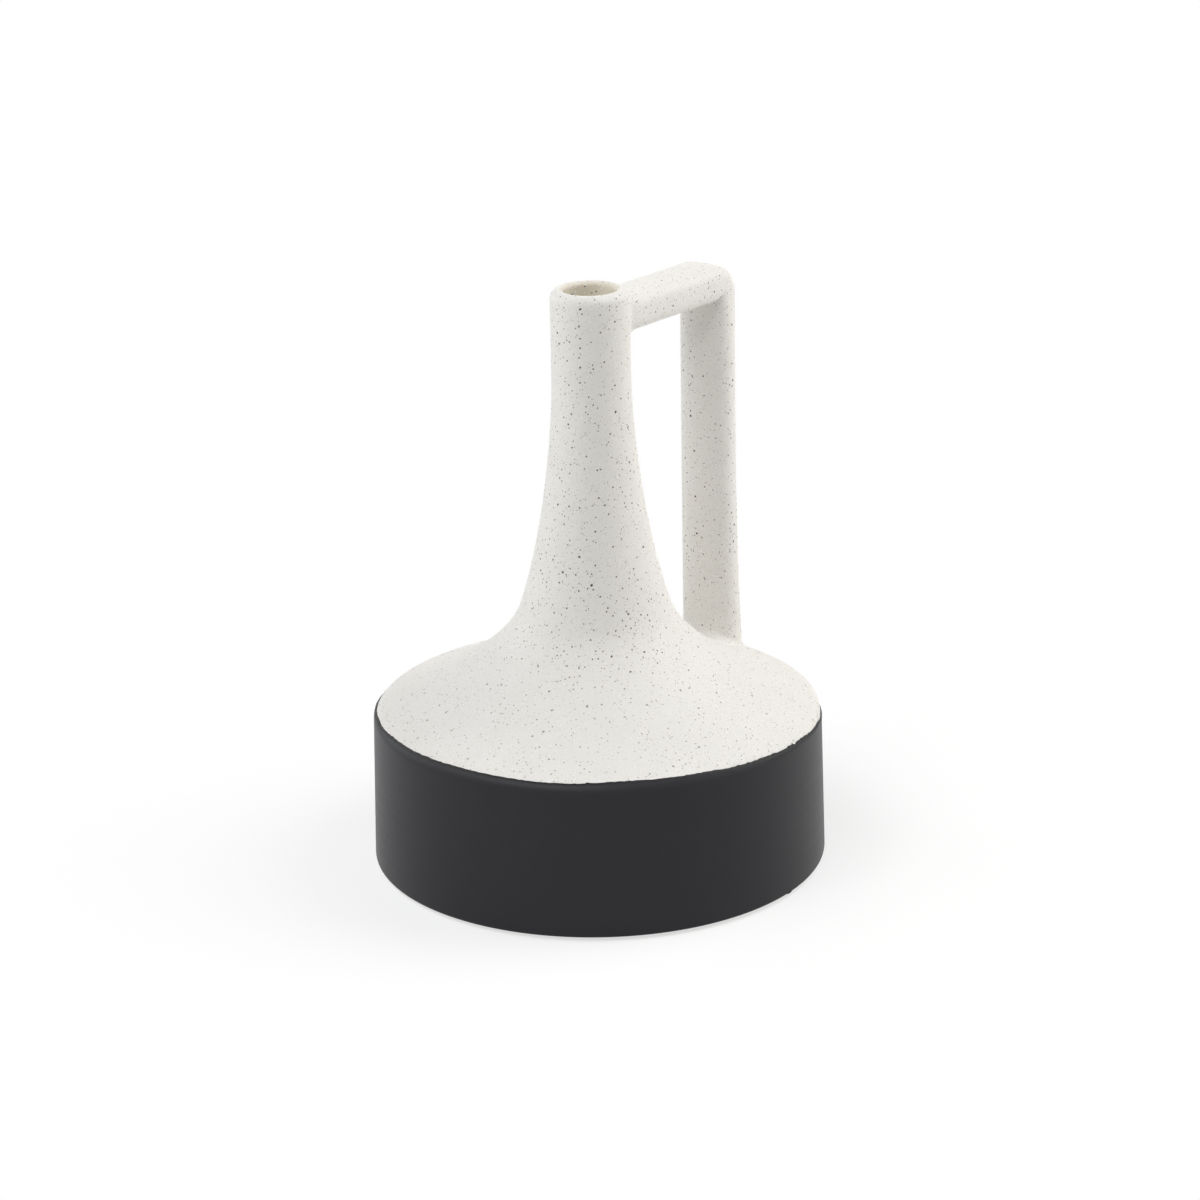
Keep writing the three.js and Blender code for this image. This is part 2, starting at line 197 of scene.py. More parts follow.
@dataclass(frozen=True)
class SpeckLayer:
    """One size of grain that shows in a glaze, as small balls that the surface slices.

    The balls are Voronoi cells in space. A surface meets 2 r / cell**3 of them in each
    square millimetre, so the cell follows from the wanted count.

    Attributes:
        name: What the grains are.
        radius_mm: The largest radius of a grain.
        per_cm2: How many grains show in a square centimetre.
        dark: Colour of the darkest grains.
        light: Colour of the lightest grains.
        strength: How much of the colour shows through the glaze, from 0 to 1.
        smallest: The smallest radius as a share of the largest.
        melt: Where a grain starts to fade and where it ends, as shares of its radius.
    """

    name: str
    radius_mm: float
    per_cm2: float
    dark: str
    light: str
    strength: float
    smallest: float = 0.45
    melt: tuple[float, float] = (0.82, 1.04)

    def cell_mm(self) -> float:
        """Side of the cell that gives the wanted count, from the formula above."""
        return (2 * self.radius_mm / (self.per_cm2 / 100)) ** (1 / 3)

    def over(
        self,
        tree: bpy.types.NodeTree,
        place: bpy.types.NodeSocket,
        colour: bpy.types.NodeSocket,
        show: bpy.types.NodeSocket | None = None,
    ) -> tuple[bpy.types.NodeSocket, bpy.types.NodeSocket]:
        """Lays the grains over a colour.

        Args:
            tree: The material's node tree.
            place: Position in metres.
            colour: The colour under the grains.
            show: How much of a grain shows here, from 0 to 1, or None for all of it.

        Returns:
            The colour with the grains, and the mask of the grains.
        """
        cells = add_node(
            tree, "ShaderNodeTexVoronoi",
            {"label": self.name, "voronoi_dimensions": "3D", "feature": "F1",
             "Scale": 1 / (self.cell_mm() * MM)},
            {"Vector": place},
        )
        chance = add_node(tree, "ShaderNodeSeparateColor", {}, {"Color": cells.outputs["Color"]})
        reach = add_node(
            tree, "ShaderNodeMapRange",
            {"To Min": self.smallest * self.radius_mm / self.cell_mm(),
             "To Max": self.radius_mm / self.cell_mm()},
            {"Value": chance.outputs["Green"]},
        )
        ratio = add_node(
            tree, "ShaderNodeMath", {"operation": "DIVIDE"},
            {0: cells.outputs["Distance"], 1: reach.outputs["Result"]},
        )
        solid = add_node(
            tree, "ShaderNodeMapRange",
            {"interpolation_type": "SMOOTHSTEP", "From Min": self.melt[0], "From Max": self.melt[1],
             "To Min": self.strength, "To Max": 0.0},
            {"Value": ratio.outputs["Value"]},
        )
        mask = add_node(
            tree, "ShaderNodeMath", {"operation": "MULTIPLY", 1: 1.0},
            {0: solid.outputs["Result"]} if show is None else {0: solid.outputs["Result"], 1: show},
        )
        grain = add_node(
            tree, "ShaderNodeMix",
            {"data_type": "RGBA", MIX_A: linear_colour(self.dark),
             MIX_B: linear_colour(self.light)},
            {MIX_FACTOR: chance.outputs["Red"]},
        )
        laid = add_node(
            tree, "ShaderNodeMix", {"data_type": "RGBA"},
            {MIX_FACTOR: mask.outputs["Value"], MIX_A: colour, MIX_B: grain.outputs[MIX_RESULT]},
        )
        return laid.outputs[MIX_RESULT], mask.outputs["Value"]


@dataclass(frozen=True)
class SpeckledGlaze:
    """Matte off-white stoneware glaze over a clay with iron grains.

    Dipped and fired to a dry, sandy skin: it scatters nearly all light, with no clear
    highlight. Iron grains bleed through as dark and brown specks, and quartz grains
    stand up as tiny white points. The glaze lies thicker on level faces, where fewer
    grains show through, and faces that look up carry a faint painted shade, a touch
    greyer. Inside the mouth the colour turns darker and warmer.
    """

    name: str = "matte_speckled_stoneware_glaze"
    colour: str = "#f2f0eb"
    cloud_colour: str = "#ebe9e3"
    cloud_size_mm: float = 14.0
    # Painted shade: faces that look up are multiplied by this, a touch greyer.
    level_painted_shade: str = "#fbfbfc"
    level_show: float = 0.62
    level_slope: tuple[float, float] = (0.5, 0.95)
    # Inside the mouth the colour turns darker and warmer, out to this radius and then fading.
    inside_colour: str = "#e3dccc"
    inside_radius_mm: float = 9.9
    inside_fade_mm: float = 2.6
    sand_size_mm: float = 0.75
    sand_height_mm: float = 0.075
    quartz_height_mm: float = 0.16
    ripple_size_mm: float = 4.5
    ripple_height_mm: float = 0.03
    grain_waver_mm: float = 0.22
    waver_size_mm: float = 0.242
    roughness: float = 0.62
    ior: float = 1.45
    layers: tuple[SpeckLayer, ...] = (
        SpeckLayer("fine tan grit", 0.22, 60.0, "#a3937d", "#cfc3b0", 0.62),
        SpeckLayer("grey grit", 0.27, 19.0, "#6a6157", "#9a8c78", 0.75),
        SpeckLayer("iron specks", 0.40, 9.0, "#2a2521", "#71533a", 0.97),
        SpeckLayer("large iron specks", 0.56, 1.6, "#25211f", "#4a3827", 0.98),
    )
    quartz: SpeckLayer = SpeckLayer("quartz grains", 0.46, 26.0, "#ffffff", "#ffffff", 1.0)

    def build(self) -> bpy.types.Material:
        """Makes the material.

        Returns:
            The material.
        """
        material, tree = new_material(self.name)
        place = add_node(tree, "ShaderNodeTexCoord").outputs["Object"]
        cloud = add_node(
            tree, "ShaderNodeTexNoise",
            {"Scale": 1 / (self.cloud_size_mm * MM), "Detail": 3.0, "Roughness": 0.6},
            {"Vector": place},
        )
        ground = add_node(
            tree, "ShaderNodeMix",
            {"data_type": "RGBA", MIX_A: linear_colour(self.colour),
             MIX_B: linear_colour(self.cloud_colour)},
            {MIX_FACTOR: cloud.outputs["Fac"]},
        )
        waver = add_node(
            tree, "ShaderNodeTexNoise",
            {"Scale": 1 / (self.waver_size_mm * MM), "Detail": 1.0},
            {"Vector": place},
        )
        centred = add_node(
            tree, "ShaderNodeVectorMath", {"operation": "SUBTRACT", 1: (0.5, 0.5, 0.5)},
            {0: waver.outputs["Color"]},
        )
        wavered = add_node(
            tree, "ShaderNodeVectorMath",
            {"operation": "MULTIPLY_ADD", 1: (self.grain_waver_mm * MM,) * 3},
            {0: centred.outputs["Vector"], 2: place},
        )
        facing = add_node(tree, "ShaderNodeNewGeometry")
        up = add_node(tree, "ShaderNodeSeparateXYZ", {}, {"Vector": facing.outputs["Normal"]})
        level = add_node(
            tree, "ShaderNodeMapRange",
            {"interpolation_type": "SMOOTHSTEP", "From Min": self.level_slope[0],
             "From Max": self.level_slope[1]},
            {"Value": up.outputs["Z"]},
        )
        show = add_node(
            tree, "ShaderNodeMapRange", {"To Min": 1.0, "To Max": self.level_show},
            {"Value": level.outputs["Result"]},
        ).outputs["Result"]
        # Painted shade: the colour is made a touch greyer where the face looks up.
        level_shaded = add_node(
            tree, "ShaderNodeMix",
            {"data_type": "RGBA", "blend_type": "MULTIPLY",
             MIX_B: linear_colour(self.level_painted_shade)},
            {MIX_FACTOR: level.outputs["Result"], MIX_A: ground.outputs[MIX_RESULT]},
        )
        flat = add_node(
            tree, "ShaderNodeVectorMath", {"operation": "MULTIPLY", 1: (1.0, 1.0, 0.0)}, {0: place},
        )
        radius = add_node(
            tree, "ShaderNodeVectorMath", {"operation": "LENGTH"}, {0: flat.outputs["Vector"]},
        )
        # Inside the mouth the colour turns darker and warmer.
        inside = add_node(
            tree, "ShaderNodeMapRange",
            {"interpolation_type": "SMOOTHSTEP", "From Min": self.inside_radius_mm * MM,
             "From Max": (self.inside_radius_mm + self.inside_fade_mm) * MM,
             "To Min": 1.0, "To Max": 0.0},
            {"Value": radius.outputs["Value"]},
        )
        bare = add_node(
            tree, "ShaderNodeMix", {"data_type": "RGBA", MIX_B: linear_colour(self.inside_colour)},
            {MIX_FACTOR: inside.outputs["Result"], MIX_A: level_shaded.outputs[MIX_RESULT]},
        )
        colour = bare.outputs[MIX_RESULT]
        for layer in self.layers:
            colour, _ = layer.over(tree, wavered.outputs["Vector"], colour, show)
        colour, quartz_mask = self.quartz.over(tree, wavered.outputs["Vector"], colour, show)
        sand = add_node(
            tree, "ShaderNodeTexNoise",
            {"Scale": 1 / (self.sand_size_mm * MM), "Detail": 2.0, "Roughness": 0.65},
            {"Vector": place},
        )
        ripple = add_node(
            tree, "ShaderNodeTexNoise",
            {"Scale": 1 / (self.ripple_size_mm * MM), "Detail": 1.0},
            {"Vector": place},
        )
        rough_sand = add_node(
            tree, "ShaderNodeBump", {"Strength": 1.0, "Distance": self.sand_height_mm * MM},
            {"Height": sand.outputs["Fac"]},
        )
        grainy = add_node(
            tree, "ShaderNodeBump", {"Strength": 1.0, "Distance": self.quartz_height_mm * MM},
            {"Height": quartz_mask, "Normal": rough_sand.outputs["Normal"]},
        )
        rippled = add_node(
            tree, "ShaderNodeBump", {"Strength": 1.0, "Distance": self.ripple_height_mm * MM},
            {"Height": ripple.outputs["Fac"], "Normal": grainy.outputs["Normal"]},
        )
        shader = add_node(
            tree, "ShaderNodeBsdfPrincipled",
            {"Roughness": self.roughness, "IOR": self.ior},
            {"Base Color": colour, "Normal": rippled.outputs["Normal"]},
        )
        add_node(tree, "ShaderNodeOutputMaterial", {}, {"Surface": shader.outputs["BSDF"]})
        return material


@dataclass(frozen=True)
class BlackMatteGlaze:
    """Matte black stoneware glaze, brushed on round the drum.

    A dense charcoal with a soft, wide sheen that lightens at grazing angles. The brush
    leaves faint bands round the drum. Near its upper edge the coat is darker, partly
    thick glaze that fires darker and partly painted shade.
    """

    name: str = "matte_black_stoneware_glaze"
    colour: str = "#2e2e31"
    # Darker along the upper edge: partly thick glaze, partly painted shade.
    cloud_colour: str = "#313134"
    thick_edge_and_shade_colour: str = "#0f1012"
    edge_width_mm: float = 2.6
    cloud_size_mm: float = 9.0
    band_height_mm: float = 1.8
    band_length_mm: float = 45.0
    band_relief_mm: float = 0.002
    grain_size_mm: float = 0.6
    grain_relief_mm: float = 0.006
    roughness_low: float = 0.40
    roughness_high: float = 0.43
    ior: float = 1.25

    def build(self) -> bpy.types.Material:
        """Makes the material.

        Returns:
            The material.
        """
        material, tree = new_material(self.name)
        place = add_node(tree, "ShaderNodeTexCoord").outputs["Object"]
        cloud = add_node(
            tree, "ShaderNodeTexNoise",
            {"Scale": 1 / (self.cloud_size_mm * MM), "Detail": 4.0, "Roughness": 0.6},
            {"Vector": place},
        )
        ground = add_node(
            tree, "ShaderNodeMix",
            {"data_type": "RGBA", MIX_A: linear_colour(self.colour),
             MIX_B: linear_colour(self.cloud_colour)},
            {MIX_FACTOR: cloud.outputs["Fac"]},
        )
        edge = add_node(tree, "ShaderNodeAttribute", {"attribute_name": EDGE_DISTANCE})
        near_edge = add_node(
            tree, "ShaderNodeMapRange",
            {"interpolation_type": "SMOOTHSTEP", "From Max": self.edge_width_mm,
             "To Min": 1.0, "To Max": 0.0},
            {"Value": edge.outputs["Fac"]},
        )
        # Darkens the coat near its upper edge: thick glaze and painted shade.
        colour = add_node(
            tree, "ShaderNodeMix",
            {"data_type": "RGBA", MIX_B: linear_colour(self.thick_edge_and_shade_colour)},
            {MIX_FACTOR: near_edge.outputs["Result"], MIX_A: ground.outputs[MIX_RESULT]},
        )
        stretched = add_node(
            tree, "ShaderNodeMapping",
            {"Scale": (self.band_height_mm / self.band_length_mm,) * 2 + (1.0,)},
            {"Vector": place},
        )
        bands = add_node(
            tree, "ShaderNodeTexNoise",
            {"Scale": 1 / (self.band_height_mm * MM), "Detail": 2.0},
            {"Vector": stretched.outputs["Vector"]},
        )
        grain = add_node(
            tree, "ShaderNodeTexNoise",
            {"Scale": 1 / (self.grain_size_mm * MM), "Detail": 2.0, "Roughness": 0.7},
            {"Vector": place},
        )
        banded = add_node(
            tree, "ShaderNodeBump", {"Strength": 1.0, "Distance": self.band_relief_mm * MM},
            {"Height": bands.outputs["Fac"]},
        )
        grained = add_node(
            tree, "ShaderNodeBump", {"Strength": 1.0, "Distance": self.grain_relief_mm * MM},
            {"Height": grain.outputs["Fac"], "Normal": banded.outputs["Normal"]},
        )
        roughness = add_node(
            tree, "ShaderNodeMapRange",
            {"From Min": NOISE_RANGE[0], "From Max": NOISE_RANGE[1],
             "To Min": self.roughness_low, "To Max": self.roughness_high},
            {"Value": bands.outputs["Fac"]},
        )
        shader = add_node(
            tree, "ShaderNodeBsdfPrincipled", {"IOR": self.ior},
            {"Base Color": colour.outputs[MIX_RESULT], "Roughness": roughness.outputs["Result"],
             "Normal": grained.outputs["Normal"]},
        )
        add_node(tree, "ShaderNodeOutputMaterial", {}, {"Surface": shader.outputs["BSDF"]})
        return material


@dataclass(frozen=True)
class BareStoneware:
    """Unglazed buff stoneware, fired and wiped clean: a dry, open, sandy tan.

    The pale glaze laps over the wall's top, so the clay is pale where the black glaze
    stops short of it.
    """

    name: str = "unglazed_buff_stoneware"
    colour: str = "#c9b79d"
    grog_colour: str = "#a58e70"
    cloud_size_mm: float = 6.0
    grit_size_mm: float = 0.5
    grit_height_mm: float = 0.06
    roughness: float = 0.9
    ior: float = 1.45
    lap_colour: str = "#f2f0eb"
    lap_from_mm: float = 52.0
    lap_fade_mm: float = 1.0
    iron: SpeckLayer = SpeckLayer("iron grit", 0.35, 12.0, "#4a3a2c", "#8a6b4c", 0.8)

    def build(self) -> bpy.types.Material:
        """Makes the material.

        Returns:
            The material.
        """
        material, tree = new_material(self.name)
        place = add_node(tree, "ShaderNodeTexCoord").outputs["Object"]
        cloud = add_node(
            tree, "ShaderNodeTexNoise",
            {"Scale": 1 / (self.cloud_size_mm * MM), "Detail": 5.0, "Roughness": 0.7},
            {"Vector": place},
        )
        ground = add_node(
            tree, "ShaderNodeMix",
            {"data_type": "RGBA", MIX_A: linear_colour(self.colour),
             MIX_B: linear_colour(self.grog_colour)},
            {MIX_FACTOR: cloud.outputs["Fac"]},
        )
        height = add_node(tree, "ShaderNodeSeparateXYZ", {}, {"Vector": place})
        lap = add_node(
            tree, "ShaderNodeMapRange",
            {"From Min": self.lap_from_mm * MM,
             "From Max": (self.lap_from_mm + self.lap_fade_mm) * MM},
            {"Value": height.outputs["Z"]},
        )
        lapped = add_node(
            tree, "ShaderNodeMix", {"data_type": "RGBA", MIX_B: linear_colour(self.lap_colour)},
            {MIX_FACTOR: lap.outputs["Result"], MIX_A: ground.outputs[MIX_RESULT]},
        )
        colour, _ = self.iron.over(tree, place, lapped.outputs[MIX_RESULT])
        grit = add_node(
            tree, "ShaderNodeTexNoise",
            {"Scale": 1 / (self.grit_size_mm * MM), "Detail": 3.0, "Roughness": 0.7},
            {"Vector": place},
        )
        gritty = add_node(
            tree, "ShaderNodeBump", {"Strength": 1.0, "Distance": self.grit_height_mm * MM},
            {"Height": grit.outputs["Fac"]},
        )
        shader = add_node(
            tree, "ShaderNodeBsdfPrincipled",
            {"Roughness": self.roughness, "IOR": self.ior},
            {"Base Color": colour, "Normal": gritty.outputs["Normal"]},
        )
        add_node(tree, "ShaderNodeOutputMaterial", {}, {"Surface": shader.outputs["BSDF"]})
        return material


@dataclass(frozen=True)
class PressedFelt:
    """Pressed wool felt, die cut: short fibres that lie every way and shine at no angle."""

    name: str = "pressed_wool_felt"
    colour: str = "#2b2a29"
    fibre_colour: str = "#4a4845"
    fibre_width_mm: float = 0.12
    fibre_length_mm: float = 1.4
    fibre_height_mm: float = 0.08
    roughness: float = 0.95
    sheen: float = 0.3

    def build(self) -> bpy.types.Material:
        """Makes the material.

        Returns:
            The material.
        """
        material, tree = new_material(self.name)
        place = add_node(tree, "ShaderNodeTexCoord").outputs["Object"]
        stretched = add_node(
            tree, "ShaderNodeMapping",
            {"Scale": (self.fibre_width_mm / self.fibre_length_mm, 1.0, 1.0)},
            {"Vector": place},
        )
        fibres = add_node(
            tree, "ShaderNodeTexNoise",
            {"Scale": 1 / (self.fibre_width_mm * MM), "Detail": 2.0, "Distortion": 2.0},
            {"Vector": stretched.outputs["Vector"]},
        )
        colour = add_node(
            tree, "ShaderNodeMix",
            {"data_type": "RGBA", MIX_A: linear_colour(self.colour),
             MIX_B: linear_colour(self.fibre_colour)},
            {MIX_FACTOR: fibres.outputs["Fac"]},
        )
        matted = add_node(
            tree, "ShaderNodeBump", {"Strength": 1.0, "Distance": self.fibre_height_mm * MM},
            {"Height": fibres.outputs["Fac"]},
        )
        shader = add_node(
            tree, "ShaderNodeBsdfPrincipled",
            {"Roughness": self.roughness, "Sheen Weight": self.sheen},
            {"Base Color": colour.outputs[MIX_RESULT], "Normal": matted.outputs["Normal"]},
        )
        add_node(tree, "ShaderNodeOutputMaterial", {}, {"Surface": shader.outputs["BSDF"]})
        return material


# Surfaces

EDGE_DISTANCE = "edge_distance"


def skin_piece(
    name: str,
    rings: np.ndarray,
    ending: Ending,
    material: bpy.types.Material,
    attributes: dict[str, np.ndarray] | None = None,
) -> bpy.types.Object:
    """Makes a closed skin through rings of points and rides it on the ware.

    Ring k holds the points P(k, i), and i closes on itself. A face joins P(k, i),
    P(k, i + 1), P(k + 1, i + 1) and P(k + 1, i), so it points outwards where each ring
    turns by the right-hand rule about the way in which k grows.

    Args:
        name: The piece's name.
        rings: Points in millimetres, as (rings, points of a ring, 3).
        ending: Whether the last ring joins the first, or both are capped.
        material: The finish.
        attributes: Values for each point, by name, as (rings, points of a ring).

    Returns:
        The piece.
    """
    count, size, _ = rings.shape
    index = np.arange(count * size).reshape(count, size)
    if ending is Ending.JOINED:
        index = np.vstack([index, index[:1]])
    turned = np.roll(index, -1, axis=1)
    quads = np.stack([index[:-1], turned[:-1], turned[1:], index[1:]], axis=-1).reshape(-1, 4)
    faces = quads.tolist()
    if ending is Ending.CAPPED:
        faces.append(index[0, ::-1].tolist())
        faces.append(index[-1].tolist())
    mesh = bpy.data.meshes.new(name)
    mesh.from_pydata((rings.reshape(-1, 3) * MM).tolist(), [], faces)
    for key, values in (attributes or {}).items():
        layer = mesh.attributes.new(key, "FLOAT", "POINT")
        layer.data.foreach_set("value", values.reshape(-1).astype(np.float32))
    mesh.polygons.foreach_set("use_smooth", np.ones(len(mesh.polygons), bool))
    mesh.materials.append(material)
    mesh.update()
    piece = bpy.data.objects.new(name, mesh)
    bpy.context.scene.collection.objects.link(piece)
    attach(piece, "root")
    LOG.info("%s: %d faces", name, len(mesh.polygons))
    return piece


def turned_rings(profile: np.ndarray, azimuths: np.ndarray) -> np.ndarray:
    """Turns a profile about the Z axis: (r, z) at angle a goes to (r cos a, r sin a, z).

    Args:
        profile: Radii and heights, as (points, 2), running up on the outside.
        azimuths: Angles in radians.

    Returns:
        One ring for each profile point.
    """
    radius, height = profile[:, :1], profile[:, 1:]
    across = radius * np.cos(azimuths)
    along = radius * np.sin(azimuths)
    return np.stack([across, along, np.broadcast_to(height, across.shape)], axis=-1)


def full_turn(count: int) -> np.ndarray:
    """Evenly spaced angles of one full turn, in radians."""
    return np.arange(count) * (2 * math.pi / count)


def polar(angle: float | np.ndarray, length: float | np.ndarray) -> np.ndarray:
    """The (r, z) step of a length at an angle above the outward level."""
    return np.stack([length * np.cos(angle), length * np.sin(angle)], axis=-1)


def arc(centre: np.ndarray, radius: float, start: float, end: float, count: int) -> np.ndarray:
    """Points of an arc: centre + radius (cos a, sin a) for a from start to end."""
    return centre + polar(np.linspace(start, end, count), radius)


def bezier(corners: list[np.ndarray], count: int) -> np.ndarray:
    """Points of a cubic curve: corners weighed by 1, 3, 3, 1 times powers of t and 1 - t.

    Args:
        corners: Its two ends and, between them, the two points that pull on it.
        count: How many points.

    Returns:
        The points, as (count, 2).
    """
    t = np.linspace(0, 1, count)[:, None]
    a, b, c, d = corners
    return (1 - t) ** 3 * a + 3 * t * (1 - t) ** 2 * b + 3 * t ** 2 * (1 - t) * c + t ** 3 * d


def without_repeats(points: np.ndarray) -> np.ndarray:
    """Drops each point that repeats the one before it."""
    steps = np.linalg.norm(np.diff(points, axis=0), axis=1)
    return points[np.concatenate([[True], steps > TINY_MM])]


@dataclass
class WareOutline:
    """The clay's outer surface as one line in (radius, height), from foot to lip.

    Heights are above the resting plane. The curves are those of the construction, and
    the sizes that its nodes show are read from them.
    """

    foot_spread: float = 1.4
    foot_round: float = 0.8
    rim_round: float = 4.1
    shoulder_slope: float = math.radians(14)
    shoulder_pulls: tuple[float, float] = (19.5, 17.2)
    waist_steepness: float = math.radians(70)
    neck_pulls: tuple[float, float] = (24.7, 31.4)
    collar_radius: float = 15.3
    collar_below_mouth: float = 31.6
    drum_wall: float = 6.0
    pot_wall: float = 5.2
    lip_outer_round: float = 3.4
    lip_inner_round: float = 1.8
    point_spacing: float = 0.25

    def __post_init__(self) -> None:
        """Reads the sizes that the nodes show and lays out the line."""
        self.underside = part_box("base_slab")[0].z / MM
        self.floor_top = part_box("base_slab")[1].z / MM
        self.drum_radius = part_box("shoulder")[1].x / MM
        self.wall_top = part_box("drum_wall")[1].z / MM
        self.waist = np.array([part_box("neck")[1].x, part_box("neck")[0].z]) / MM
        self.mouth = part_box("neck")[1].z / MM
        self.wall_lean = math.atan2(self.foot_spread, self.wall_top - self.underside)
        rim_edge = np.array([self.drum_radius, self.wall_top])
        self.rim_centre = rim_edge - polar(self.wall_lean, self.rim_round)
        self.line = self._even(self._whole_line())
        steps = np.linalg.norm(np.diff(self.line, axis=0), axis=1)
        self.length = np.concatenate([[0.0], np.cumsum(steps)])
        way = np.gradient(self.line, axis=0)
        way /= np.linalg.norm(way, axis=1, keepdims=True)
        self.normal = np.stack([way[:, 1], -way[:, 0]], axis=-1)

    def wall_radius(self, height: float | np.ndarray) -> float | np.ndarray:
        """The radius of the leaning wall at a height."""
        return self.drum_radius + (self.wall_top - height) * math.tan(self.wall_lean)

    def shoulder_curve(self, count: int) -> np.ndarray:
        """The curve from the rim's rounding to the waist.

        Args:
            count: How many points.

        Returns:
            The points, as (count, 2).
        """
        start = self.rim_centre + polar(math.pi / 2 - self.shoulder_slope, self.rim_round)
        away = polar(math.pi - self.shoulder_slope, 1.0)
        up = polar(math.pi - self.waist_steepness, 1.0)
        near_rim, near_waist = self.shoulder_pulls
        before = self.waist - near_waist * up
        return bezier([start, start + near_rim * away, before, self.waist], count)

    def neck_curve(self, count: int) -> np.ndarray:
        """The curve from the waist to the straight collar.

        Args:
            count: How many points.

        Returns:
            The points, as (count, 2).
        """
        collar = np.array([self.collar_radius, self.mouth - self.collar_below_mouth])
        up = polar(math.pi - self.waist_steepness, 1.0)
        near_waist, near_collar = self.neck_pulls
        below = collar - np.array([0.0, near_collar])
        return bezier([self.waist, self.waist + near_waist * up, below, collar], count)

    def lip(self, count: int) -> np.ndarray:
        """The outer rounding of the lip, up to its crest."""
        centre = np.array([self.collar_radius, self.mouth]) - self.lip_outer_round
        return arc(centre, self.lip_outer_round, 0.0, math.pi / 2, count)

    def inner_lip(self, count: int) -> np.ndarray:
        """The inner rounding of the lip, from its crest to the bore.

        Args:
            count: How many points.

        Returns:
            The points, as (count, 2).
        """
        bore = self.collar_radius - self.pot_wall
        centre = np.array([bore + self.lip_inner_round, self.mouth - self.lip_inner_round])
        return arc(centre, self.lip_inner_round, math.pi / 2, math.pi, count)

    def _whole_line(self) -> np.ndarray:
        """The foot's rounding, the wall, the rim, the shoulder, the neck and the lip.

        The counts only have to be finer than the even spacing that follows.

        Returns:
            The points, as (points, 2).
        """
        foot = self.wall_radius(self.underside)
        foot_centre = np.array([foot - self.foot_round, self.underside + self.foot_round])
        rim_end = math.pi / 2 - self.shoulder_slope
        return without_repeats(np.vstack([
            arc(foot_centre, self.foot_round, -math.pi / 2, self.wall_lean, 9),
            arc(self.rim_centre, self.rim_round, self.wall_lean, rim_end, 25),
            self.shoulder_curve(200),
            self.neck_curve(300),
            self.lip(25),
        ]))

    def _even(self, points: np.ndarray) -> np.ndarray:
        """The same line with its points evenly spaced.

        Args:
            points: The line, as (points, 2).

        Returns:
            The evenly spaced points, as (points, 2).
        """
        steps = np.linalg.norm(np.diff(points, axis=0), axis=1)
        length = np.concatenate([[0.0], np.cumsum(steps)])
        even = np.linspace(0, length[-1], int(length[-1] / self.point_spacing))
        return np.stack([np.interp(even, length, points[:, i]) for i in range(2)], axis=-1)

    def length_at_height(self, height: float) -> float:
        """How far along the line a height is reached."""
        return float(np.interp(height, self.line[:, 1], self.length))

    def at(self, length: np.ndarray) -> tuple[np.ndarray, np.ndarray]:
        """The line's points and outward normals.

        Args:
            length: Distances along the line.

        Returns:
            The points and the normals, as (..., 2) each.
        """
        point = [np.interp(length, self.length, self.line[:, i]) for i in range(2)]
        normal = [np.interp(length, self.length, self.normal[:, i]) for i in range(2)]
        return np.stack(point, axis=-1), np.stack(normal, axis=-1)

    def above(self, points: np.ndarray) -> tuple[np.ndarray, np.ndarray]:
        """Signed height of points above the turned surface, and its normals there.

        The nearest point of a turned surface lies in the same half plane as the point,
        so this is the distance to the line in (r, z).

        Args:
            points: Points in space, as (points, 3).

        Returns:
            The heights, below zero inside the clay, and the unit normals in space.
        """
        radius = np.hypot(points[:, 0], points[:, 1])
        place = np.stack([radius, points[:, 2]], axis=-1)
        start = self.line[:-1]
        side = self.line[1:] - start
        apart = place[:, None] - start
        share = np.clip((apart * side).sum(-1) / (side * side).sum(-1), 0, 1)
        gap = apart - share[..., None] * side
        best = np.linalg.norm(gap, axis=-1).argmin(axis=1)
        row = np.arange(len(points))
        gap, side = gap[row, best], side[best]
        outside = np.where(side[:, 1] * gap[:, 0] - side[:, 0] * gap[:, 1] < 0, -1.0, 1.0)
        height = outside * np.linalg.norm(gap, axis=1)
        flat = gap / height[:, None]
        around = points[:, :2] / radius[:, None]
        normal = np.concatenate([flat[:, :1] * around, flat[:, 1:]], axis=1)
        return height, normal


# The ware's own pieces


@dataclass
class PaleBody:
    """The shoulder and the neck as one smooth clay shell under the pale glaze."""

    outline: WareOutline
    segments: int = 288
    outer_points: int = 170
    lip_points: int = 9
    inner_points: int = 60

    def profile(self) -> np.ndarray:
        """The closed section: outside from the rim to the lip, then back down the bore.

        The inside is the outside moved inwards by the wall, from the bore to where it
        meets the top of the drum's wall.

        Returns:
            Radii and heights, as (points, 2).
        """
        line = self.outline
        start = line.length_at_height(line.wall_top)
        outside, _ = line.at(np.linspace(start, line.length[-1], self.outer_points))
        seat = np.array([line.drum_radius - line.drum_wall, line.wall_top])
        collar = line.length_at_height(line.mouth - line.collar_below_mouth)
        inner_start = line.length_at_height(line.wall_top + line.rim_round)
        point, normal = line.at(np.linspace(collar, inner_start, self.inner_points))
        inside = point - line.pot_wall * normal
        inside = inside[(inside[:, 0] < seat[0]) & (inside[:, 1] > seat[1])]
        lip = line.inner_lip(self.lip_points)
        return without_repeats(np.vstack([outside, lip, inside, seat]))

    def build(self, finish: bpy.types.Material) -> bpy.types.Object:
        """Makes the shell in place of the construction's two nodes.

        Args:
            finish: The pale glaze.

        Returns:
            The shell.
        """
        rings = turned_rings(self.profile(), full_turn(self.segments))
        piece = skin_piece("pale_body", rings, Ending.JOINED, finish)
        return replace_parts(piece, "shoulder", "neck")


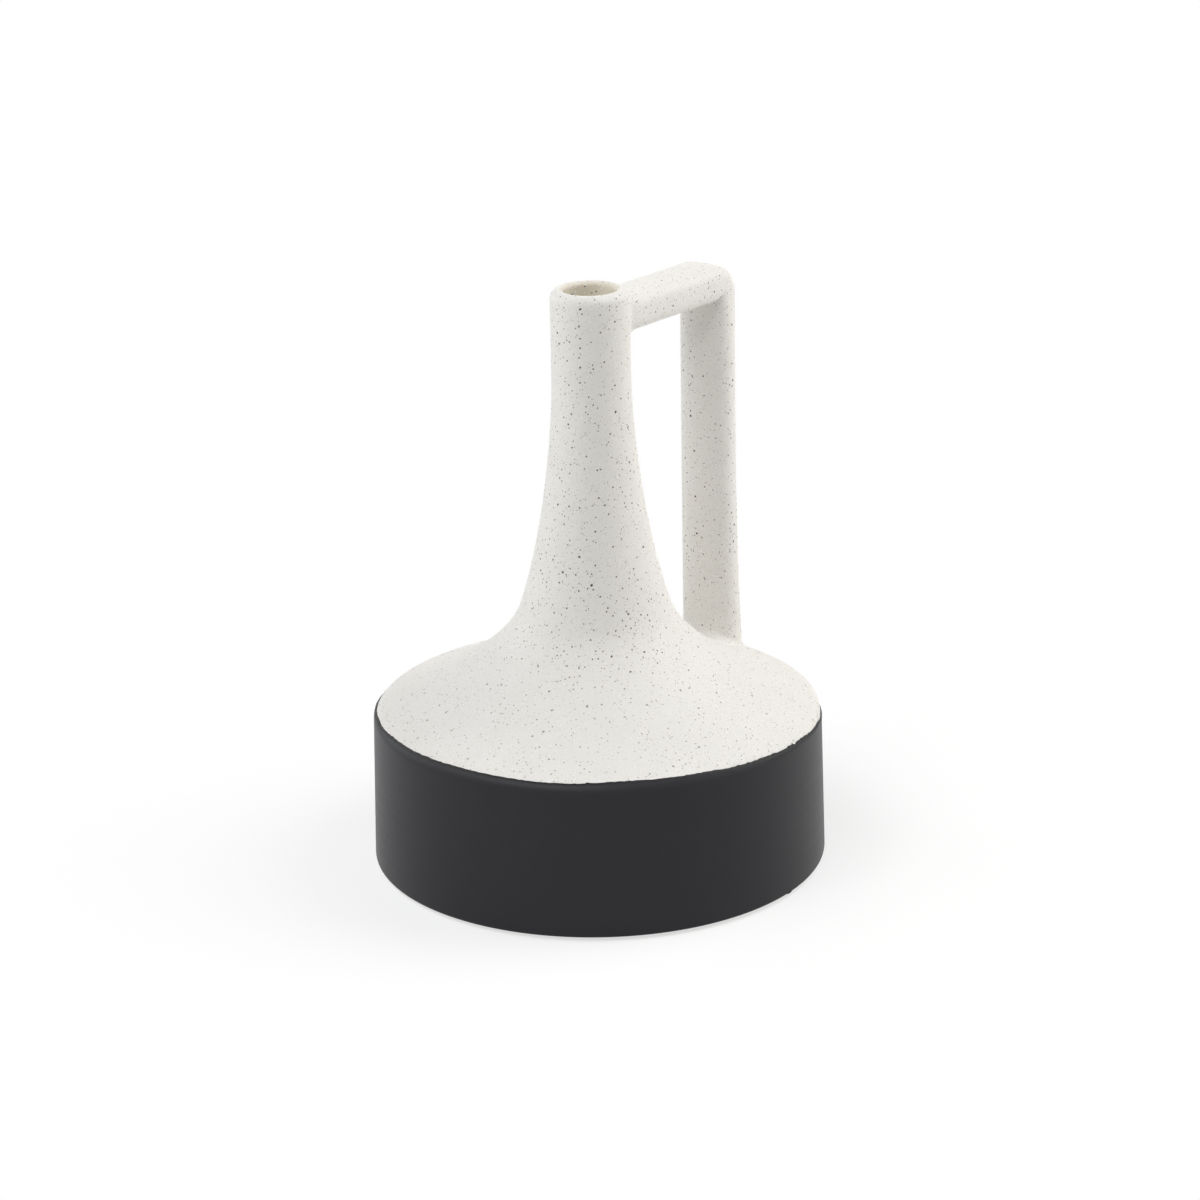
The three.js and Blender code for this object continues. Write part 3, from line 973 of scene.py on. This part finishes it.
@dataclass
class DrumWall:
    """The upright clay ring behind the black glaze."""

    outline: WareOutline
    segments: int = 240

    def build(self, finish: bpy.types.Material) -> bpy.types.Object:
        """Makes the ring from the floor's top to the wall's top.

        Args:
            finish: The bare clay.

        Returns:
            The ring.
        """
        line = self.outline
        foot = line.wall_radius(line.floor_top)
        profile = np.array([
            [foot - line.drum_wall, line.floor_top],
            [foot, line.floor_top],
            [line.drum_radius, line.wall_top],
            [line.drum_radius - line.drum_wall, line.wall_top],
        ])
        rings = turned_rings(profile, full_turn(self.segments))
        piece = skin_piece("drum_wall_ring", rings, Ending.JOINED, finish)
        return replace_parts(piece, "drum_wall")


@dataclass(frozen=True)
class GlazeNick:
    """A small flaw in the glaze line.

    Attributes:
        azimuth: Where it is, in degrees from +X towards +Y.
        rise: How far the line steps up there, in millimetres.
        width: Its half width, in millimetres.
    """

    azimuth: float
    rise: float
    width: float


@dataclass
class BlackGlazeCoat:
    """The black glaze: a thin coat from under the foot's edge up over the rim.

    Its upper edge runs unevenly round the rim. The heights below are how far it stands
    past the wall's top, along the rim, at a few azimuths in degrees. Below zero it stops
    short of the wall's top.
    """

    outline: WareOutline
    thickness: float = 0.6
    edge_round: float = 0.45
    bead_height: float = 0.12
    bead_place: float = 1.0
    bead_width: float = 0.5
    sunk: float = 0.08
    segments: int = 1440
    rows: int = 44
    row_crowding: float = 0.55
    foot_rows: int = 6
    inside_step: int = 4
    ragged_height: float = 0.10
    ragged_waves: tuple[int, int] = (24, 260)
    ragged_count: int = 40
    ragged_even: float = 3.0
    seed: int = 7
    line_heights: tuple[tuple[float, float], ...] = (
        (-180, 2.4), (-170, 3.2), (-150, 4.4), (-125, 5.3), (-100, 4.8), (-84, 5.7),
        (-66, 5.0), (-50, 3.4), (-30, 2.2), (-15, 0.8), (-5, -1.0), (6, -1.6), (18, 0.3),
        (60, 0.5), (140, 0.5), (168, 1.3),
    )
    nicks: tuple[GlazeNick, ...] = (
        GlazeNick(-93.0, 0.5, 0.6), GlazeNick(-52.5, 0.35, 0.9), GlazeNick(-49.5, 0.3, 0.8),
        GlazeNick(-33.5, 0.4, 1.0), GlazeNick(-30.5, -0.4, 0.9), GlazeNick(-140.0, 0.2, 1.2),
    )

    def edge_height(self, azimuths: np.ndarray) -> np.ndarray:
        """How far past the wall's top the coat reaches, at each azimuth.

        The few given heights are joined by half cosine waves. A sum of sines with seeded
        phases roughens the line: the sines shrink with the root of their wave number, so
        that they are even in power. Each nick adds a bell of its own rise and width.

        Args:
            azimuths: Angles in radians.

        Returns:
            The heights along the rim, in millimetres.
        """
        given = np.array(self.line_heights)
        places = np.concatenate([given[:, 0], [given[0, 0] + 360]])
        heights = np.concatenate([given[:, 1], given[:1, 1]])
        degrees = (np.degrees(azimuths) - places[0]) % 360 + places[0]
        step = np.clip(np.searchsorted(places, degrees, side="right") - 1, 0, len(places) - 2)
        share = (degrees - places[step]) / (places[step + 1] - places[step])
        ease = (1 - np.cos(math.pi * share)) / 2
        height = heights[step] + (heights[step + 1] - heights[step]) * ease
        random = np.random.default_rng(self.seed)
        waves = random.integers(*self.ragged_waves, self.ragged_count)
        phases = random.uniform(0, 2 * math.pi, self.ragged_count)
        shrink = (self.ragged_waves[0] * self.ragged_even / waves) ** 0.5
        sizes = np.sqrt(2 / self.ragged_count) * self.ragged_height * shrink
        height += (sizes * np.sin(azimuths[:, None] * waves + phases)).sum(axis=1)
        for nick in self.nicks:
            away = (np.degrees(azimuths) - nick.azimuth + 180) % 360 - 180
            away = np.radians(away) * self.outline.drum_radius
            height += nick.rise * np.exp(-(away / nick.width) ** 2)
        return height

    def build(self, finish: bpy.types.Material) -> bpy.types.Object:
        """Makes the coat in place of the construction's node.

        At each azimuth the outside follows the clay's line at the coat's thickness. The
        thickness rises as a quarter ellipse from nothing at the upper edge, with a low
        bead just behind it, and falls to nothing round the foot's edge. The inside
        comes back down just within the clay.

        Args:
            finish: The black glaze.

        Returns:
            The coat.
        """
        line = self.outline
        azimuths = full_turn(self.segments)
        top = line.length_at_height(line.wall_top) + self.edge_height(azimuths)
        share = np.linspace(0, 1, self.rows)[:, None] ** self.row_crowding
        foot = 2 * line.foot_round
        foot_rows = np.linspace(0, 1, self.foot_rows + 1)[:-1, None] * foot
        length = np.vstack([
            np.broadcast_to(foot_rows, (self.foot_rows, self.segments)),
            foot + (top - foot) * share,
        ])
        from_edge = top - length
        rounding = np.clip(from_edge / self.edge_round, 0, 1)
        bead = self.bead_height * np.exp(-((from_edge - self.bead_place) / self.bead_width) ** 2)
        foot_fade = np.sin(np.clip(length / foot, 0, 1) * math.pi / 2)
        thick = (self.thickness + bead) * np.sqrt(1 - (1 - rounding) ** 2) * foot_fade
        point, normal = line.at(length)
        outside = point + (thick - self.sunk * (thick < TINY_MM))[..., None] * normal
        inside = (point - self.sunk * normal)[::-self.inside_step]
        section = np.concatenate([outside, inside])
        distance = np.concatenate([from_edge, from_edge[::-self.inside_step]])
        radius, height = section[..., 0], section[..., 1]
        rings = np.stack([radius * np.cos(azimuths), radius * np.sin(azimuths), height], axis=-1)
        known = {EDGE_DISTANCE: distance}
        piece = skin_piece("black_glaze", rings, Ending.JOINED, finish, known)
        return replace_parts(piece, "black_glaze_coat")


@dataclass(frozen=True)
class BarSection:
    """A soft-edged oblong section, |2u/w|**n + |2v/t|**n = 1, rounder on its far side.

    Attributes:
        width: Its size w along u, across the bar, in millimetres.
        thickness: Its size t along v, towards the bar's outer face.
        near_power: The power n on the side that faces the front, where u is below zero.
        far_power: The power n on the other side.
        shift: How far its middle lies towards the outer face.
        twist: How far it is turned about the bar, in degrees.
    """

    width: float
    thickness: float
    near_power: float
    far_power: float
    shift: float = 0.0
    twist: float = 0.0

    def _unturned(self, turn: np.ndarray) -> tuple[np.ndarray, np.ndarray]:
        """Powers and untwisted points: u and v are the 2/n powers of cos a and sin a.

        Args:
            turn: The turns a, in radians.

        Returns:
            The powers n, as (points, 1), and the points, as (points, 2).
        """
        cosine, sine = np.cos(turn), np.sin(turn)
        power = np.where(cosine < 0, self.near_power, self.far_power)
        across = np.sign(cosine) * np.abs(cosine) ** (2 / power) * self.width / 2
        outward = np.sign(sine) * np.abs(sine) ** (2 / power) * self.thickness / 2
        return power[:, None], np.stack([across, outward], axis=-1)

    def _turned(self, values: np.ndarray) -> np.ndarray:
        """Values (u, v) turned by the twist."""
        angle = math.radians(self.twist)
        return values @ np.array([
            [math.cos(angle), -math.sin(angle)],
            [math.sin(angle), math.cos(angle)],
        ])

    def points(self, turn: np.ndarray) -> np.ndarray:
        """Points (u, v) at turns a, as (points, 2)."""
        return self._turned(self._unturned(turn)[1]) + np.array([0.0, self.shift])

    def normals(self, turn: np.ndarray) -> np.ndarray:
        """Unit normals, which follow the slopes of |2u/w|**n and |2v/t|**n.

        Args:
            turn: The turns a, in radians.

        Returns:
            The normals, as (points, 2).
        """
        power, point = self._unturned(turn)
        size = np.array([self.width, self.thickness])
        slope = np.sign(point) * np.abs(2 * point / size) ** (power - 1) / size
        return self._turned(slope / np.linalg.norm(slope, axis=1, keepdims=True))

    def even_turns(self, count: int) -> np.ndarray:
        """Turns whose points lie evenly round the section.

        Args:
            count: How many turns.

        Returns:
            The turns, in radians.
        """
        fine = np.linspace(0, 2 * math.pi, FINE_TURNS)
        steps = np.linalg.norm(np.diff(self.points(fine), axis=0), axis=1)
        length = np.concatenate([[0.0], np.cumsum(steps)])
        return np.interp(np.arange(count) * length[-1] / count, length, fine)


@dataclass
class SquareHandle:
    """The bar handle: level from the neck, square round the corner, down to the shoulder.

    The section is an oblong on the bridge. It settles to a rounder one over a short way
    below the corner and flares a little at the foot. Both ends flow into the ware by a
    fillet. All along the bar the points keep the turns that lie evenly on one plain
    section, the one it is spaced on.
    """

    outline: WareOutline
    azimuth: float = math.radians(51.3)
    inset: float = 5.5
    bridge_drop: float = 12.05
    bridge: BarSection = BarSection(21.8, 14.8, 3.6, 3.4)
    upright: BarSection = BarSection(22.0, 15.4, 2.4, 2.4, twist=18.0)
    foot: BarSection = BarSection(24.0, 18.0, 2.4, 2.4, shift=1.8, twist=18.0)
    flare_power: float = 3.0
    settle_drop: float = 12.0
    settled_in_bend: float = 0.6
    corner_round: float = 5.2
    sharp_round: float = 0.5
    top_fillet: float = 4.5
    under_fillet: float = 5.0
    foot_fillet: float = 3.5
    section_points: int = 120
    fillet_rows: int = 15
    straight_rows: int = 14
    corner_rows: int = 21
    halvings: int = 40
    feather_length: float = 0.7
    feather_depth: float = 0.05
    embed: float = 4.0
    plug_depth: float = 8.0
    plug_share: float = 0.8
    spaced_on: BarSection = BarSection(22.0, 14.0, 3.0, 3.0)

    def __post_init__(self) -> None:
        """Places the bar and lays out the turns of its section points."""
        line = self.outline
        self.reach = line.drum_radius - self.inset - self.upright.thickness / 2
        self.height = line.mouth - self.bridge_drop
        self.turns = self.spaced_on.even_turns(self.section_points)

    def bar_point(
        self,
        end: BarEnd,
        along: np.ndarray,
        across: np.ndarray,
        outward: np.ndarray,
    ) -> np.ndarray:
        """Points beside the bar, in a frame whose X points out along the handle.

        Args:
            end: The level bridge at the neck, or the upright at the foot.
            along: Place along that stretch: its X for the bridge, its Z for the upright.
            across: Place across the bar.
            outward: Place towards the bar's outer face.

        Returns:
            Points in space.
        """
        if end is BarEnd.NECK:
            parts = (along, across, self.height + outward)
        else:
            parts = (self.reach + outward, across, along)
        return np.stack(np.broadcast_arrays(*parts), axis=-1)

    def fillet(self, end: BarEnd) -> np.ndarray:
        """Rings of one end, from inside the ware out to the bar.

        A ball that touches the bar and the ware rolls round the bar. Its centre lies one
        radius off the bar, at the place along it, found by halving, where it is also one
        radius off the ware. The arc between its two touches is the fillet. Past the
        ware's touch the skin runs on a little way, sinks and turns into the clay.

        Args:
            end: Which end of the bar.

        Returns:
            The rings, as (rings, points, 3).
        """
        line = self.outline
        section = self.bridge if end is BarEnd.NECK else self.foot
        point, normal = section.points(self.turns).T, section.normals(self.turns).T
        if end is BarEnd.NECK:
            radius = (self.top_fillet + self.under_fillet) / 2
            radius = radius + normal[1] * (self.top_fillet - self.under_fillet) / 2
            near, far = np.zeros(self.section_points), np.full(self.section_points, self.reach)
        else:
            radius = np.full(self.section_points, self.foot_fillet)
            near = np.full(self.section_points, line.wall_top)
            far = np.full(self.section_points, self.height)
        off_bar = point + normal * radius
        for _ in range(self.halvings):
            middle = (near + far) / 2
            inside = line.above(self.bar_point(end, middle, *off_bar))[0] < radius
            near, far = np.where(inside, middle, near), np.where(inside, far, middle)
        centre = self.bar_point(end, far, *off_bar)
        to_bar = self.bar_point(end, far, *point) - centre
        to_bar /= np.linalg.norm(to_bar, axis=1, keepdims=True)
        to_ware = -line.above(centre)[1]
        opening = np.arccos(np.clip((to_bar * to_ware).sum(1), -1, 1))[:, None]
        share = np.linspace(0, 1, self.fillet_rows)[:, None, None]
        arcs = np.sin(share * opening) * to_bar + np.sin((1 - share) * opening) * to_ware
        rings = centre + radius[:, None] * (arcs / np.sin(opening))
        onward = (to_ware * np.cos(opening) - to_bar) / np.sin(opening)
        feather = rings[0] + self.feather_length * onward + self.feather_depth * to_ware
        root = rings[0] + self.embed * to_ware
        plug = self.bar_point(end, far - self.plug_depth, *(point * self.plug_share))
        return np.concatenate([plug[None], root[None], feather[None], rings])

    def corner(self) -> np.ndarray:
        """Rings round the corner: each section point turns about its own centre.

        The radius is the corner's own plus the place outwards, and never less than the
        sharp inner corner's, so the outer corner is round and the inner one is sharp. On
        the way the section takes on a share of the upright's.

        Returns:
            The rings, as (rings, points, 3).
        """
        share = np.linspace(0, 1, self.corner_rows)
        turn = share[:, None] * math.pi / 2
        start, settled = self.bridge.points(self.turns), self.upright.points(self.turns)
        point = start + (settled - start) * self.settled_in_bend * share[:, None, None]
        across, outward = point[..., 0], point[..., 1]
        radius = np.maximum(self.corner_round + outward, self.sharp_round)
        x = self.reach + outward + radius * (np.sin(turn) - 1)
        z = self.height + outward + radius * (np.cos(turn) - 1)
        return np.stack([x, across, z], axis=-1)

    def rings(self) -> np.ndarray:
        """All rings from inside the neck to inside the shoulder, turned to the azimuth.

        Below the corner the rings go evenly down to where the section has settled, while
        its shape eases over by s**2 (3 - 2 s). From there it grows by s**3 to the foot.

        Returns:
            The rings, as (rings, points, 3).
        """
        neck_end, foot_end = self.fillet(BarEnd.NECK), self.fillet(BarEnd.FOOT)[::-1]
        corner = self.corner()
        share = np.linspace(0, 1, self.straight_rows + 2)[1:-1, None, None]
        bridge = neck_end[-1] + share * (corner[0] - neck_end[-1])
        settled_height = self.height - self.bridge.thickness / 2 - self.settle_drop
        settled = self.bar_point(BarEnd.FOOT, settled_height, *self.upright.points(self.turns).T)
        down = np.append(share, [[[1.0]]], axis=0)
        ease = np.concatenate([np.repeat(down ** 2 * (3 - 2 * down), 2, axis=2), down], axis=2)
        settling = corner[-1] + ease * (settled - corner[-1])
        flare = np.concatenate([np.repeat(share ** self.flare_power, 2, axis=2), share], axis=2)
        upright = settled + flare * (foot_end[0] - settled)
        rings = np.concatenate([neck_end, bridge, corner, settling, upright, foot_end])
        turn = np.array([
            [math.cos(self.azimuth), math.sin(self.azimuth), 0],
            [-math.sin(self.azimuth), math.cos(self.azimuth), 0],
            [0, 0, 1],
        ])
        return rings @ turn

    def build(self, finish: bpy.types.Material) -> bpy.types.Object:
        """Makes the handle in place of the construction's two nodes."""
        piece = skin_piece("square_handle", self.rings(), Ending.CAPPED, finish)
        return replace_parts(piece, "handle_bridge", "handle_upright")


@dataclass
class FeltPads:
    """Stick-on felt pads, rounded squares with soft edges, in place of the plain ones."""

    side: float = 16.0
    squareness: float = 6.0
    edge_round: float = 0.5
    edge_rows: int = 6
    points: int = 64

    def pad(self, name: str, finish: bpy.types.Material) -> bpy.types.Object:
        """Makes one pad inside its node's box.

        The outline is |x/a|**n + |y/a|**n = 1, turned to face the axis, and the edge is
        a half round at the top and at the bottom.

        Args:
            name: The node that the pad stands for.
            finish: The felt.

        Returns:
            The pad.
        """
        low, high = (np.array(corner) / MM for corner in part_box(name))
        centre = (low + high) / 2
        azimuth = math.atan2(centre[1], centre[0])
        turn = full_turn(self.points)
        power = 2 / self.squareness
        x = np.sign(np.cos(turn)) * np.abs(np.cos(turn)) ** power * self.side / 2
        y = np.sign(np.sin(turn)) * np.abs(np.sin(turn)) ** power * self.side / 2
        outline = np.stack([
            x * math.cos(azimuth) - y * math.sin(azimuth),
            x * math.sin(azimuth) + y * math.cos(azimuth),
        ], axis=-1)
        bend = np.linspace(0, math.pi / 2, self.edge_rows)
        inset = self.edge_round * (1 - np.sin(bend))
        shrink = np.concatenate([inset, inset[::-1]])
        drop = self.edge_round * (1 - np.cos(bend))
        height = np.concatenate([low[2] + drop, high[2] - drop[::-1]])
        scale = 1 - shrink * 2 / self.side
        rings = np.stack([
            np.concatenate([centre[:2] + outline * s, np.full((self.points, 1), h)], axis=1)
            for s, h in zip(scale, height)
        ])
        piece = skin_piece(f"felt_{name}", rings, Ending.CAPPED, finish)
        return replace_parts(piece, name)

    def build(self, frame: dict, finish: bpy.types.Material) -> list[bpy.types.Object]:
        """Makes every pad."""
        names = [name for name in sorted(frame["nodes"]) if name.startswith("foot_pad")]
        return [self.pad(name, finish) for name in names]


@dataclass(frozen=True)
class GlazeBead:
    """A bead of black glaze that has gathered on the drum's lower edge.

    Attributes:
        azimuth: Where it hangs, in degrees from +X towards +Y.
        width: Its length along the edge, in millimetres.
        bulge: How far it stands out and down from the edge, in millimetres.
    """

    azimuth: float
    width: float
    bulge: float


@dataclass
class GlazeBeads:
    """The two beads low on the right of the drum.

    They carry no distance from the coat's edge, so they take its darker edge colour,
    which is partly thick glaze and partly painted shade.
    """

    outline: WareOutline
    beads: tuple[GlazeBead, ...] = (GlazeBead(-35.5, 5.0, 0.65), GlazeBead(-28.5, 3.4, 0.4))
    sunk: float = 0.1
    above_underside: float = 0.5
    sag: float = 1.1
    end_share: float = 0.02
    ring_points: int = 24
    rings: int = 17

    def bead(self, index: int, bead: GlazeBead, finish: bpy.types.Material) -> bpy.types.Object:
        """Makes one bead: a rod along the edge that swells by the root of a half sine.

        Args:
            index: The bead's number.
            bead: Its place and size.
            finish: The glaze.

        Returns:
            The bead.
        """
        line = self.outline
        azimuth = math.radians(bead.azimuth)
        edge = np.array([
            line.wall_radius(line.underside) - self.sunk,
            line.underside + self.above_underside,
        ])
        share = np.linspace(0, 1, self.rings)[:, None]
        around = full_turn(self.ring_points)
        swelling = np.sin(math.pi * np.clip(share, self.end_share, 1 - self.end_share))
        swell = (bead.bulge + self.sunk) * np.sqrt(swelling)
        radius = edge[0] + swell * np.cos(around)
        height = edge[1] + swell * np.sin(around) * self.sag
        turn = azimuth + (share - 0.5) * bead.width / edge[0]
        points = np.stack([radius * np.cos(turn), radius * np.sin(turn), height], axis=-1)
        name = f"glaze_bead_{index}"
        return skin_piece(name, points[:, ::-1], Ending.CAPPED, finish)

    def build(self, finish: bpy.types.Material) -> list[bpy.types.Object]:
        """Makes both beads."""
        return [self.bead(i, bead, finish) for i, bead in enumerate(self.beads, start=1)]


# The studio


@dataclass(frozen=True)
class SoftLamp:
    """A square softbox aimed at the middle of the ware.

    Attributes:
        name: Where it stands.
        azimuth: Degrees from +X towards +Y.
        elevation: Degrees above the level.
        power: Watts.
        colour: sRGB hex.
        distance: Metres from the ware.
        side: Metres along its side.
    """

    name: str
    azimuth: float
    elevation: float
    power: float
    colour: str = "#ffffff"
    distance: float = 1.2
    side: float = 0.8

    def build(self, aim: np.ndarray) -> bpy.types.Object:
        """Makes the lamp.

        Args:
            aim: The point that it faces, in metres.

        Returns:
            The lamp.
        """
        data = bpy.data.lights.new(self.name, "AREA")
        data.shape = "SQUARE"
        data.size = self.side
        data.energy = self.power
        data.color = linear_colour(self.colour)[:3]
        lamp = bpy.data.objects.new(self.name, data)
        azimuth, elevation = math.radians(self.azimuth), math.radians(self.elevation)
        away = np.array([
            math.cos(elevation) * math.cos(azimuth),
            math.cos(elevation) * math.sin(azimuth),
            math.sin(elevation),
        ])
        side = np.array([-math.sin(azimuth), math.cos(azimuth), 0.0])
        lamp.matrix_world = facing(side, np.cross(away, side), away, aim + self.distance * away)
        bpy.context.scene.collection.objects.link(lamp)
        return lamp


def facing(x: np.ndarray, y: np.ndarray, z: np.ndarray, place: np.ndarray) -> Matrix:
    """A placing whose own X, Y and Z axes point along the given unit vectors.

    Args:
        x: Where its X axis points.
        y: Where its Y axis points.
        z: Where its Z axis points.
        place: Its origin, in metres.

    Returns:
        The placing.
    """
    placing = np.eye(4)
    placing[:3, 0], placing[:3, 1], placing[:3, 2], placing[:3, 3] = x, y, z, place
    return Matrix(placing.tolist())


@dataclass
class Studio:
    """A pale floor and backdrop, soft lamps, and the camera at the photograph's angle."""

    focal_px: float = 3442.2
    photo_px: float = 1200.0
    sensor_mm: float = 36.0
    camera_distance: float = 1271.5
    camera_height: float = 553.8
    pitch: float = math.radians(19.504)
    yaw: float = math.radians(-0.078)
    roll: float = math.radians(-1.073)
    aim_height: float = 0.1
    floor_half: float = 3.0
    floor_colour: str = "#f4f4f4"
    floor_shade: float = 0.38
    floor_lift: float = 0.65
    floor_fade: tuple[float, float] = (0.10, 0.30)
    lamps: tuple[SoftLamp, ...] = (
        SoftLamp("front_left_high", 240, 50, 6.2),
        SoftLamp("right_high", 15, 50, 6.0),
        SoftLamp("right_low", 0, 20, 4.8, "#fffcf9"),
        SoftLamp("left_high", 195, 50, 3.9),
        SoftLamp("back_left_low", 150, 20, 3.0, "#f0f7ff"),
        SoftLamp("back_low", 90, 20, 1.8, "#fff2e4"),
        SoftLamp("left_low", 180, 20, 0.8),
        SoftLamp("back_right_low", 30, 20, 1.2),
    )

    def camera(self, underside: float) -> bpy.types.Object:
        """Makes the camera.

        Its axes follow from the yaw about Z, then the pitch down, then the roll.

        Args:
            underside: Height of the drum's underside, in millimetres.

        Returns:
            The camera.
        """
        right = np.array([math.cos(self.yaw), math.sin(self.yaw), 0.0])
        level = np.array([-math.sin(self.yaw), math.cos(self.yaw), 0.0])
        up = np.array([0.0, 0.0, 1.0])
        forward = level * math.cos(self.pitch) - up * math.sin(self.pitch)
        down = -level * math.sin(self.pitch) - up * math.cos(self.pitch)
        rolled_right = right * math.cos(self.roll) - down * math.sin(self.roll)
        rolled_down = right * math.sin(self.roll) + down * math.cos(self.roll)
        place = np.array([0.0, -self.camera_distance, self.camera_height + underside]) * MM
        data = bpy.data.cameras.new("photo_camera")
        data.sensor_width = self.sensor_mm
        data.lens = self.focal_px / self.photo_px * self.sensor_mm
        data.dof.use_dof = False
        camera = bpy.data.objects.new("photo_camera", data)
        camera.matrix_world = facing(rolled_right, -rolled_down, -forward, place)
        bpy.context.scene.collection.objects.link(camera)
        bpy.context.scene.camera = camera
        return camera

    def floor(self) -> bpy.types.Object:
        """Makes the pale floor, which keeps the ware's soft shadow.

        To camera, glossy and transmission rays it is a grey with a lift near the ware, so
        that its shadow stays faint, and it fades to the white of the backdrop over the
        distances given, in metres. The light that it throws back on the ware is that of
        a pale painted floor.

        Returns:
            The floor.
        """
        material, tree = new_material("painted_studio_floor")
        rays = add_node(tree, "ShaderNodeLightPath")
        shade = (self.floor_shade,) * 3 + (1.0,)
        shadowed = add_node(tree, "ShaderNodeBsdfDiffuse", {"Color": shade})
        lift = add_node(tree, "ShaderNodeEmission", {"Strength": self.floor_lift})
        shown = add_node(
            tree, "ShaderNodeAddShader", {},
            {0: shadowed.outputs["BSDF"], 1: lift.outputs["Emission"]},
        )
        place = add_node(tree, "ShaderNodeTexCoord").outputs["Object"]
        away = add_node(tree, "ShaderNodeVectorMath", {"operation": "LENGTH"}, {0: place})
        fade = add_node(
            tree, "ShaderNodeMapRange",
            {"From Min": self.floor_fade[0], "From Max": self.floor_fade[1]},
            {"Value": away.outputs["Value"]},
        )
        white = add_node(tree, "ShaderNodeEmission", {"Strength": 1.0})
        faded = add_node(
            tree, "ShaderNodeMixShader", {},
            {0: fade.outputs["Result"], 1: shown.outputs["Shader"], 2: white.outputs["Emission"]},
        )
        pale = linear_colour(self.floor_colour)
        bounce = add_node(tree, "ShaderNodeBsdfDiffuse", {"Color": pale})
        mix = add_node(
            tree, "ShaderNodeMixShader", {},
            {0: seen_rays(tree, rays), 1: bounce.outputs["BSDF"], 2: faded.outputs["Shader"]},
        )
        add_node(tree, "ShaderNodeOutputMaterial", {}, {"Surface": mix.outputs["Shader"]})
        half = self.floor_half
        mesh = bpy.data.meshes.new("studio_floor")
        square = [(-half, -half, 0), (half, -half, 0), (half, half, 0), (-half, half, 0)]
        mesh.from_pydata(square, [], [(0, 1, 2, 3)])
        mesh.materials.append(material)
        floor = bpy.data.objects.new("studio_floor", mesh)
        bpy.context.scene.collection.objects.link(floor)
        floor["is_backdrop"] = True
        return floor

    def world(self) -> bpy.types.World:
        """Makes the backdrop: white where it is seen or mirrored, and dark as a light.

        Returns:
            The world.
        """
        world = bpy.data.worlds.new("studio_backdrop")
        world.use_nodes = True
        tree = world.node_tree
        tree.nodes.clear()
        rays = add_node(tree, "ShaderNodeLightPath")
        dark = add_node(tree, "ShaderNodeBackground", {"Strength": 0.0})
        white = add_node(
            tree, "ShaderNodeBackground", {"Color": linear_colour("#ffffff"), "Strength": 1.0},
        )
        mix = add_node(
            tree, "ShaderNodeMixShader", {},
            {0: seen_rays(tree, rays), 1: dark.outputs["Background"],
             2: white.outputs["Background"]},
        )
        add_node(tree, "ShaderNodeOutputWorld", {}, {"Surface": mix.outputs["Shader"]})
        bpy.context.scene.world = world
        return world

    def build(self, underside: float) -> None:
        """Makes the whole studio.

        Args:
            underside: Height of the drum's underside, in millimetres.
        """
        bpy.context.scene.view_settings.view_transform = "Standard"
        self.camera(underside)
        self.floor()
        self.world()
        for lamp in self.lamps:
            lamp.build(np.array([0.0, 0.0, self.aim_height]))


def seen_rays(tree: bpy.types.NodeTree, rays: bpy.types.Node) -> bpy.types.NodeSocket:
    """One for camera, glossy and transmission rays, and zero for light that falls on things.

    Args:
        tree: The node tree.
        rays: Its Light Path node.

    Returns:
        The larger of the three.
    """
    shine = add_node(
        tree, "ShaderNodeMath", {"operation": "MAXIMUM"},
        {0: rays.outputs["Is Glossy Ray"], 1: rays.outputs["Is Transmission Ray"]},
    )
    seen = add_node(
        tree, "ShaderNodeMath", {"operation": "MAXIMUM"},
        {0: rays.outputs["Is Camera Ray"], 1: shine.outputs["Value"]},
    )
    return seen.outputs["Value"]


def corners() -> list[list[float]]:
    """The shown object's lowest and highest corner as plain numbers."""
    return [list(corner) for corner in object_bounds()]


def main() -> None:
    """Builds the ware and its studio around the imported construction."""
    logging.basicConfig(level=logging.INFO, format="%(name)s: %(message)s")
    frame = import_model()

    pale = SpeckledGlaze().build()
    black = BlackMatteGlaze().build()
    clay = BareStoneware().build()
    felt = PressedFelt().build()

    outline = WareOutline()
    PaleBody(outline).build(pale)
    DrumWall(outline).build(clay)
    BlackGlazeCoat(outline).build(black)
    SquareHandle(outline).build(pale)
    GlazeBeads(outline).build(black)
    FeltPads().build(frame, felt)

    slab: bpy.types.Object = frame["nodes"]["base_slab"]
    slab.data.materials.clear()
    slab.data.materials.append(clay)
    LOG.info("base_slab: dressed in place")

    Studio().build(outline.underside)


if __name__ == "__main__":
    main()
